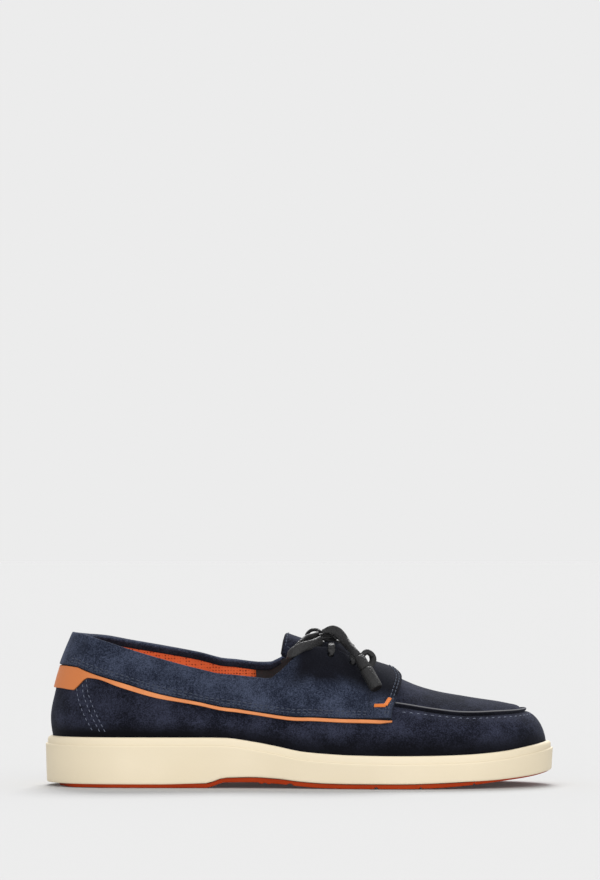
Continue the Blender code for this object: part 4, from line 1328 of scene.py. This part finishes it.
def build_footbed():
    """The insole, lying in the cup with a rounded upper edge."""
    steps = ((0.0, 0.0), (0.0, 0.55), (0.0002, 0.75), (0.0009, 0.92), (0.0020, 1.0), (0.006, 1.0))

    def profile(side, share):
        line = []
        for extra, rise in steps:
            point = inward(side, share, FEATHER_INSET + UPPER_WALL + 2 * GAP + extra)
            low = rim(share_of(point)) - CUP_DEPTH + GAP
            line.append(at_height(point, low + INSOLE_THICKNESS * rise))
        return line

    # Painted shade along the insole's edge, against the wall of the cup.
    made = carried("footbed", profile, FOOTBED, [1.0, 0.8, 0.5, 0.2, 0.0, 0.0])
    return finished(made, "lining_leather", "insole")


TREAD_BORDER = 0.0045  # plain border of the tread
TREAD_ENDS = (-0.142, 0.148)
CUT_DEPTH = 0.0010
WAVE_PITCH = 0.0048
WAVE_SWING = 0.0022
WAVE_HALF = 0.0085  # half a wave across the tread
WAIST = (-0.030, 0.010, 0.016)  # middle of the plain stretch under the arch, and how far its soft ends lie
SIDE_CUTS = ((0.482, 0.0024), (0.648, 0.0016), (0.838, 0.0014), (0.735, 0.0012))
ARCH_LUGS = ((0.425, 0.0022), (0.438, 0.0022))  # two small feet under the front of the arch
LUG_HEIGHT = 0.0006
LUG_REACH = (0.004, 0.005)  # how far in from the tread's edge the feet end


def band(distance, width, soft):
    """1 within a band of this width and 0 outside it. Its edges are soft by this share of the width."""
    return 1 - blend(abs(distance), width * (0.5 - soft), width * (0.5 + soft))


def tread_cut(along, across, border):
    """How far the tread is cut back here, from 0 to 1."""
    side_cut = max(band(along - (share - 0.5) * SOLE_LENGTH, width, 0.15) for share, width in SIDE_CUTS)
    wave = along + WAVE_SWING * math.sin(across / WAVE_HALF * math.pi)
    phase = abs((wave / WAVE_PITCH) % 1 - 0.5) * WAVE_PITCH
    inside = blend(border, TREAD_BORDER * 0.8, TREAD_BORDER * 1.1)
    outside_waist = blend(abs(along - WAIST[0]), *WAIST[1:])
    return max(side_cut, (1 - blend(phase, 0.00045, 0.00095)) * inside * outside_waist)


def build_tread():
    """The red tread: a thin slab cut with wavy grooves inside a plain border."""
    piece = Piece("tread_red")
    shares = sorted(set(dense(count=60) + spread(0.004, 0.996, 300)))

    def edge(side, share, extra=0.0):
        back = (HEEL_SETBACK - TREAD_INSET) * (1 - blend(share, 0.0, 0.06))
        return inward(side, share, TREAD_INSET + back + extra)

    rows, top = [], []
    for share in shares:
        left, right = (edge(side, share, 0.0003) for side in SIDES)
        lug = max(band((share - at) * SOLE_LENGTH, wide, 0.10) for at, wide in ARCH_LUGS)
        width = (left - right).length
        row = []
        for t in spread(0.0, 1.0, 56):
            point = left.lerp(right, t)
            border = min(t, 1 - t) * width
            border = min(border, (point.x - TREAD_ENDS[0]) * 1.2, (TREAD_ENDS[1] - point.x) * 1.2)
            height = CUT_DEPTH * tread_cut(point.x, point.y, border)
            height -= LUG_HEIGHT * lug * (1 - blend(border, *LUG_REACH))
            row.append(at_height(point, ground_line(share_of(point)) + height))
        rows.append(row)
        left, right = (edge(side, share, 0.0010) for side in SIDES)
        top.append([at_height(p, tread_top(share_of(p))) for p in (left, left.lerp(right, 0.5), right)])
    piece.grid(rows)
    for side, end in zip(SIDES, (0, -1)):
        wall = []
        for share, row in zip(shares, rows):
            out = edge(side, share)
            high = tread_top(share_of(out))
            foot = at_height(out, row[end].z + 0.0003)
            wall.append([row[end], foot, at_height(out, high), at_height(edge(side, share, 0.0010), high)])
        # Painted shade on the tread's side and top, under the midsole.
        piece.grid(wall, [0.1, 0.0, 0.3, 0.6])
    piece.grid(top, [0.6] * 3)
    piece.join()
    return finished(piece.done(TREAD_RED, sharp=50), "outsole_rubber", "outsole")


# Stitches.


def stitch_mesh(name, runs, material, radius=0.00028, long=0.0023, pitch=0.0032, sunk=0.3):
    """Short threads that dive into the surface at both ends, along runs of (point, outward)."""
    piece = Piece(name)
    for run in runs:
        points = [point for point, _ in run]
        lengths = [0.0]
        for a, b in zip(points, points[1:]):
            lengths.append(lengths[-1] + (b - a).length)
        count = max(int((lengths[-1] - long) / pitch), 0)
        start = (lengths[-1] - count * pitch - long) / 2

        def at(distance):
            i = min(max(bisect.bisect_right(lengths, distance), 1), len(points) - 1)
            t = (distance - lengths[i - 1]) / max(lengths[i] - lengths[i - 1], 1e-9)
            out = run[i - 1][1].lerp(run[i][1], t).normalized()
            return points[i - 1].lerp(points[i], t), out

        for number in range(count + 1):
            rings = []
            for t in spread(0.0, 1.0, 6):
                place, out = at(start + number * pitch + long * t)
                ahead, _ = at(start + number * pitch + long * t + 0.0003)
                heading = (ahead - place).normalized()
                aside = heading.cross(out).normalized()
                arch = math.sin(math.pi * t) ** 0.6
                thick = radius * (0.55 + 0.45 * arch)
                centre = place + out * (radius * (arch * (1 + sunk) - sunk - 0.25))
                rings.append([
                    centre + (aside * math.cos(a) * 1.1 + out * math.sin(a) * 0.85) * thick
                    for a in around(6)
                ])
            piece.tube(rings)
    return piece.done(material, weld=False, sharp=80)


def saddle_edge_run(side, above):
    """A run along the saddle's lower edge, this far above it."""
    run = []
    for share in spread(0.03, THROAT, 90):
        low = lower_edge("saddle", side, share)
        run.append(spot(side, share, low + above / span(side, share, low, low + MEASURE), SADDLE_TOP))
    return run


def saddle_front_run(side, back):
    """A run along the saddle's front edge, this far behind it, from the lower edge to the crown."""
    run = []
    low = lower_edge("saddle", side, SADDLE_FRONT)
    for w in spread(low + 0.06, 2.98, 40):
        share = SADDLE_FRONT + saddle_bow(w, low) - back / SOLE_LENGTH
        run.append(spot(side, share, w, saddle_lift(side, share, w)))
    return run


# Three rows of stitching on the counter, from the tab down to the sole: distance from the heel and height,
# in millimetres.
HEEL_ROWS = (
    ((19.5, 61.5), (19.8, 55.7), (20.9, 50.7), (24.2, 42.0), (27.7, 35.6), (29.5, 32.4)),
    ((23.1, 63.2), (23.4, 55.7), (25.6, 48.6), (29.5, 40.0), (33.5, 32.4)),
    ((25.2, 63.2), (26.3, 55.7), (28.4, 49.3), (32.0, 41.3), (36.7, 32.2)),
)
VAMP_ROW = 0.79  # how far up the wall the vamp's row runs


def side_place(side, along, height):
    """The share and w of the side's point at this distance from the heel and this height, in metres."""
    share = along / SOLE_LENGTH
    for _ in range(8):
        w = w_at_height(side, share, height - rim(share))
        share += 0.8 * (along / SOLE_LENGTH - share_of(upper_point(side, share, w)))
        share = min(max(share, 0.002), 0.998)
    return share, w


def heel_run(side, row):
    """One of the counter's rows, curving forward from the tab down to the sole."""
    table = Table(("height", "along"), *sorted((height, along) for along, height in row))
    run = []
    for height in spread(row[-1][1], row[0][1], 24):
        share, w = side_place(side, table.at("along", height) / 1000, height / 1000)
        run.append(spot(side, share, w, 0.0))
    return run


def tongue_stitch(share, across, step):
    """A place on the tongue's border with its outward direction, measured at this share."""
    out = tongue_point(share, across, 0.0) - tongue_point(share, across, 0.001)
    return tongue_place(across, step, 0.0), out.normalized()


def build_stitches():
    """All rows of stitches, as one piece for each seam."""
    edges = [saddle_edge_run(side, above) for side in SIDES for above in (0.0022, 0.0040)]
    finished(stitch_mesh("saddle_edge_stitches", edges, THREAD_NAVY), "saddle_suede")
    fronts = [saddle_front_run(side, back) for side in SIDES for back in (0.0020, 0.0040)]
    finished(stitch_mesh("saddle_front_stitches", fronts, THREAD_NAVY, radius=0.00034), "saddle_suede")
    heel = [heel_run(side, row) for side in SIDES for row in HEEL_ROWS]
    finished(stitch_mesh("heel_stitches", heel, THREAD_PALE, radius=0.00021, long=0.0018), "upper_suede")
    shares = dense(SADDLE_FRONT + SADDLE_BOW + 0.006, TOE_MEETS)
    vamp = [[spot(side, share, VAMP_ROW, 0.0) for share in shares] for side in SIDES]
    made = stitch_mesh("vamp_stitches", vamp, THREAD_PALE, radius=0.00027, long=0.0019, pitch=0.0042)
    finished(made, "seam_suede")
    reach = (-TONGUE_BORDER, TONGUE_BORDER)
    border = [[tongue_stitch(0.5, across, step) for step in spread(0.02, 0.55, 30)] for across in reach]
    border.append([tongue_stitch(0.47, across, 0.024) for across in spread(*reach, 30)])
    finished(stitch_mesh("tongue_stitches", border, THREAD_NAVY, pitch=0.0026, long=0.0020), "tongue_suede")


# The bar tack's two ends and its bend, along the shoe and up, in metres, and the threads laid across it.
BAR_TACK = ((0.0436, 0.0462), (0.0499, 0.0454), (0.0520, 0.0496))
TACK_PITCH = 0.00034
TACK_HALF = 0.00115
TACK_RISE = 0.00045
TACK_RADIUS = 0.00022


def build_bar_tack():
    """The orange bent bar tack at the saddle's front corner: close threads side by side."""
    piece = Piece("bar_tack")
    for side in SIDES:
        places = []
        for x, z in BAR_TACK:
            share, w = side_place(side, x + SOLE_LENGTH / 2, z)
            places.append(spot(side, share, w, saddle_lift(side, share, w) + 0.0003))
        for (a, out_a), (b, out_b) in zip(places, places[1:]):
            heading = (b - a).normalized()
            aside = heading.cross(out_a).normalized()
            for t in spread(0.0, 1.0, int((b - a).length / TACK_PITCH)):
                centre = a.lerp(b, t)
                out = out_a.lerp(out_b, t).normalized()
                rings = []
                for u in spread(-1.0, 1.0, 6):
                    arch = math.sqrt(max(1 - u * u, 0.05))
                    middle = centre + aside * u * TACK_HALF + out * TACK_RISE * arch
                    rings.append([
                        middle + (heading * math.cos(k) + out * math.sin(k)) * TACK_RADIUS for k in around(6)
                    ])
                piece.tube(rings)
    return finished(piece.done(THREAD_ORANGE, weld=False, sharp=80), "strip_leather")


# Lace.

STRAND_WIDTH = LACE_WIDTH * 0.94
STRAND_THICK = 0.0021
STEPS = 8  # points of a strand for each stretch of its route
EYELET_DIVE = 0.0035  # how deep a bar's end goes into its eyelet


def flat_ring(middle, aside, out, half_width, half_thick, powers, count):
    """A flat section with rounded corners, the squarer the smaller the powers are."""
    ring = []
    for angle in around(count):
        c, s = math.cos(angle), math.sin(angle)
        across = math.copysign(abs(c) ** powers[0], c) * half_width
        over = math.copysign(abs(s) ** powers[1], s) * half_thick
        ring.append(middle + aside * across + out * over)
    return ring


def strand_rings(line, width, thick, up, taper=None):
    """Flat sections along a line. Up is a rough direction of the flat side, worked out from the place
    along the line and the heading there. Taper gives the share of the width at a place."""
    rings = []
    for i, point in enumerate(line):
        heading = (line[min(i + 1, len(line) - 1)] - line[max(i - 1, 0)]).normalized()
        t = i / (len(line) - 1)
        out = up(t, heading)
        out = (out - heading * out.dot(heading)).normalized()
        aside = heading.cross(out).normalized()
        size = taper(t) if taper else 1.0
        height = thick / 2 * (1 if size > 0.99 else 0.6 + 0.4 * size)
        rings.append(flat_ring(point, aside, out, width / 2 * size, height, (0.55, 0.75), 16))
    return rings


def strand(name, node, rings):
    """A closed strand of lace that stands for one node."""
    piece = Piece(name)
    piece.tube(rings)
    return finished(piece.done(LACE_BLACK, weld=False, sharp=70), "lace_leather", node)


def build_cord(name, node, up, taper=None):
    """A free stretch of the lace along its route."""
    line = smooth_route(LACE_ROUTES[node], STEPS)
    made = strand(name, node, strand_rings(line, STRAND_WIDTH, STRAND_THICK, up, taper))
    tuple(line[0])
    round(sum((b - a).length for a, b in zip(line, line[1:])), 4)


# Section of a barrel along its axis: how far down, its radius as a share and its painted shade.
TIP_SECTION = (
    (0.000, 0.30, 0.5), (0.000, 0.62, 0.3), (0.012, 0.76, 0.0), (0.040, 0.84, 0.0), (0.16, 0.88, 0.0),
    (0.330, 0.86, 0.0), (0.360, 0.80, 0.5), (0.375, 0.72, 1.0), (0.392, 0.82, 0.7), (0.415, 0.95, 0.0),
    (0.440, 0.99, 0.0), (0.60, 1.00, 0.0), (0.80, 1.00, 0.0), (0.945, 0.98, 0.0), (0.975, 0.93, 0.0),
    (0.992, 0.84, 0.1), (1.000, 0.70, 0.3), (0.994, 0.50, 0.7), (0.990, 0.25, 0.6),
)
TIP_SIDES = 40
TIP_START = 6  # sides from the roll's outer edge to the first side
TIP_ROLL = 0.085  # how much thinner the roll is at the end of its turn


def build_tip(name, node):
    """A barrel of lace rolled round its own end: a narrow neck, a groove darkened with painted shade and a
    wide body.
    """
    top, foot = (Vector(point) / 1000 for point in LACE_TIPS[node])
    axis = (foot - top).normalized()
    side = Vector((0, 1, 0)).cross(axis).normalized()
    other = axis.cross(side).normalized()
    rings, shades = [], []
    for along, share, shade in TIP_SECTION:
        ring, tones = [], []
        for k, angle in enumerate(around(TIP_SIDES)):
            turn = (k + TIP_START) % TIP_SIDES
            roll = 1 - TIP_ROLL * turn / (TIP_SIDES - 1) + 0.012 * math.sin(3 * angle + along * 9)
            out = side * math.cos(angle) + other * math.sin(angle)
            radius = LACE_TIP_DIAMETER / 2 * share * roll
            ring.append(top + axis * along * (foot - top).length + out * radius)
            # Painted shade along the rolled edge of the leather.
            tones.append(max(shade, 0.8 if turn in (TIP_SIDES - 1, 0) else 0.0))
        rings.append(ring)
        shades.append(tones)
    piece = Piece(name)
    piece.tube(rings, shades)
    return finished(piece.done(LACE_BLACK, weld=False, sharp=60), "lace_leather", node)


def build_bar(name, node, share):
    """A taut stretch of lace that comes up through one eyelet, crosses the throat and goes down the other."""
    lift = SADDLE_TOP + GAP + LACE_THICKNESS / 2
    halves, outs = [], []
    for side in SIDES:
        place, out = eyelet(side, share)
        edge = offset(side, share, 2, lift) + UP * LACE_REST
        towards = (edge - place).normalized()
        outs.append(out)
        halves.append([
            place - out * EYELET_DIVE,
            place + out * 0.0006 + towards * 0.0002,
            place + out * (SADDLE_TOP + 0.0006) + towards * 0.0010,
            offset(side, share, 1.88, lift + LACE_REST * 0.5),
            edge,
        ])
    middle = (halves[0][-1] + halves[1][-1]) / 2
    whole = halves[0] + [middle] + halves[1][::-1]

    def up(t, _):
        half = 0 if t < 0.5 else 1
        near = min(t, 1 - t)
        lean = 0.6 * max(0.25 - near, 0) * (-1, 1)[half]
        return outs[half].lerp(UP, min(near / 0.42, 1)) + Vector((0, lean, 0))

    def taper(t):
        return 0.66 + 0.34 * blend(min(t, 1 - t), 0.05, 0.26)

    line = smooth_route([point * 1000 for point in whole], STEPS)
    strand(name, node, strand_rings(line, STRAND_WIDTH, STRAND_THICK, up, taper))


# Strands that fill the knot, in millimetres.
KNOT_FILLS = (
    ((10.8, -5.2, 88.0), (14.0, -3.4, 88.2), (18.0, -0.6, 87.8), (22.0, 1.6, 87.2), (25.4, 0.6, 87.4)),
    ((12.4, 4.4, 89.0), (15.0, 2.0, 88.4), (18.4, -1.4, 87.0), (21.0, -4.4, 86.4), (22.0, -6.4, 86.6)),
    ((12.0, -8.2, 86.2), (15.0, -5.4, 86.7), (18.0, -1.0, 86.4), (16.6, 4.0, 86.6), (14.8, 7.6, 86.4)),
    ((12.6, -6.4, 86.4), (15.4, -4.6, 85.4), (18.6, -1.6, 84.6), (21.4, -2.4, 84.4), (23.6, -3.4, 84.0)),
    ((14.6, 6.2, 85.6), (17.4, 3.4, 84.9), (20.6, 1.0, 84.0), (24.4, 1.2, 83.6), (28.6, 4.0, 82.8)),
    ((13.8, -6.2, 90.0), (16.0, -4.2, 90.2), (18.6, -1.0, 89.9), (20.6, 2.2, 88.2), (20.0, 4.6, 86.2)),
)
KNOT_LEAN = 0.35  # slant of the turn across the knot
KNOT_BAND = (0.0021, 0.00085)  # half width and half thickness of the turn


def build_knot():
    """The bow's knot: one turn of lace round the crossing strands, and the strands that fill it."""
    centre = Vector(LACE_KNOT) / 1000
    radii = Vector(LACE_KNOT_RADII) / 1000
    wide, high = radii.x - 0.0012, radii.z - 0.0004
    piece = Piece("bow_knot")
    rings = []
    for angle in around(40):
        c, s = math.cos(angle), math.sin(angle)
        middle = Vector((wide * c, 0.0012 * math.cos(angle * 2 + 0.8) + wide * c * KNOT_LEAN, high * s))
        out = Vector((c / wide, 0, s / high)).normalized()
        heading = Vector((-s * radii.x, -s * radii.x * KNOT_LEAN, c * radii.z)).normalized()
        aside = heading.cross(out).normalized()
        out = aside.cross(heading).normalized()
        rings.append(flat_ring(centre + middle, aside, out, *KNOT_BAND, (0.6, 0.8), 14))
    piece.grid(rings + rings[:1], closed=True)
    for fill in KNOT_FILLS:
        line = smooth_route(fill, STEPS)
        piece.tube(strand_rings(line, LACE_WIDTH * 0.86, STRAND_THICK * 0.85, lambda *_: Vector((0.1, 0, 1))))
    return finished(piece.done(LACE_BLACK, weld=False, sharp=70), "lace_leather", "lace_knot")


def upright(t, heading):
    """A strand that stands on its edge, with its flat sides to the left and the right of its course."""
    return heading.cross(UP) + UP * 0.25


def standing_arc(t, heading):
    """A strand bent over its flat side in a standing arc."""
    return Vector((0, 1, 0)).cross(heading)


def curl_turn(t, heading):
    """From bent over its flat side to turned towards the outside of the foot."""
    return standing_arc(t, heading).lerp(Vector((0.25, -1, 0.1)), 0.15 + 0.6 * blend(t, 0.3, 0.8))


def lying(t, heading):
    """A strand that lies flat and leans further inward as it goes."""
    return Vector((0.25, 0.45 * blend(t, 0.5, 1.0), 1))


def near_width(t):
    """The near end leaves the knot narrow, opens out flat and narrows again towards its barrel."""
    return 0.70 + 0.75 * blend(t, 0, 0.22) - 0.40 * blend(t, 0.35, 1)


def build_curl():
    """The small loop of lace that stands out of the near barrel."""
    line = smooth_route(LACE_ROUTES["lace_curl_near"], STEPS)
    rings = strand_rings(line, LACE_WIDTH * 0.90, STRAND_THICK * 1.5, curl_turn)
    strand("near_curl", "lace_curl_near", rings)


def build_laces():
    """The two bars, the bow with its knot, and the ends with their barrels."""
    build_bar("lace_over_upper_eyelets", "lace_bar_upper", EYELETS[0])
    build_bar("lace_over_lower_eyelets", "lace_bar_lower", EYELETS[1])
    build_knot()
    build_curl()
    near_tip = build_tip("near_lace_tip", "lace_tip_near")
    far_tip = build_tip("far_lace_tip", "lace_tip_far")
    build_cord("near_loop", "lace_loop_near", upright, taper=lambda t: 1.35)
    build_cord("far_loop", "lace_loop_far", standing_arc)
    build_cord("near_end", "lace_end_near", upright, near_width)
    build_cord("far_end", "lace_end_far", lying)


# Studio.

BACKDROP = 0.839  # linear brightness of the photograph's even grey ground
OVERHEAD = ((0.03, 0.69, 0.72), 3.1, 28)  # direction towards the lamp, strength, width in degrees
FRONT = ((0.10, -0.90, 0.24), 1.35, 60)
FLOOR_REACH = 30
FLOOR_DROP = 0.0002


def build_camera():
    """A long lens on the outer side, a little above the floor."""
    camera = shown("camera", bpy.data.cameras.new("camera"))
    rise = math.radians(CAMERA_ELEVATION)
    camera.location = AIM + Vector((0, -math.cos(rise), math.sin(rise))) * CAMERA_DISTANCE
    camera.rotation_euler = (math.pi / 2 - rise + math.radians(CAMERA_TILT), 0, 0)
    camera.data.sensor_width = SENSOR
    camera.data.lens = LENS
    camera.data.clip_end = 100
    bpy.context.scene.camera = camera


def build_sun(name, towards, strength, width, shadow):
    """A wide lamp. Returns how bright it makes a white floor."""
    lamp = bpy.data.lights.new(name, "SUN")
    lamp.energy = strength
    lamp.angle = math.radians(width)
    lamp.use_shadow = shadow
    shown(name, lamp).rotation_euler = Vector(towards).to_track_quat("Z", "Y").to_euler()
    return strength * Vector(towards).normalized().z / math.pi


def build_studio():
    """Even light from all round, a wide lamp from above and behind that shades the floor before the shoe,
    a front lamp that fills in, and a floor as bright as the air."""
    world = bpy.data.worlds.new("studio")
    world.use_nodes = True
    world.node_tree.nodes["Background"].inputs["Color"].default_value = (BACKDROP, BACKDROP, BACKDROP, 1)
    bpy.context.scene.world = world
    bpy.context.scene.view_settings.view_transform = "Standard"
    lit = BACKDROP + build_sun("overhead", *OVERHEAD, True) + build_sun("front", *FRONT, False)
    paint = Tree("floor paint", 1.0, Specular_IOR_Level=0.0)
    paint.colour((BACKDROP / lit,) * 3)
    bm = bmesh.new()
    bmesh.ops.create_grid(bm, x_segments=1, y_segments=1, size=FLOOR_REACH)
    floor = shown("floor", mesh_from("floor", bm))
    floor.location.z = -FLOOR_DROP
    floor.data.materials.append(paint.material)


build_camera()
build_laces()
build_upper()
build_saddle()
build_heel_strip()
build_lip()
build_tongue()
build_linings()
build_midsole()
build_tread()
build_footbed()
build_stitches()
build_bar_tack()
bpy.data.objects.remove(CUTTER)
build_studio()
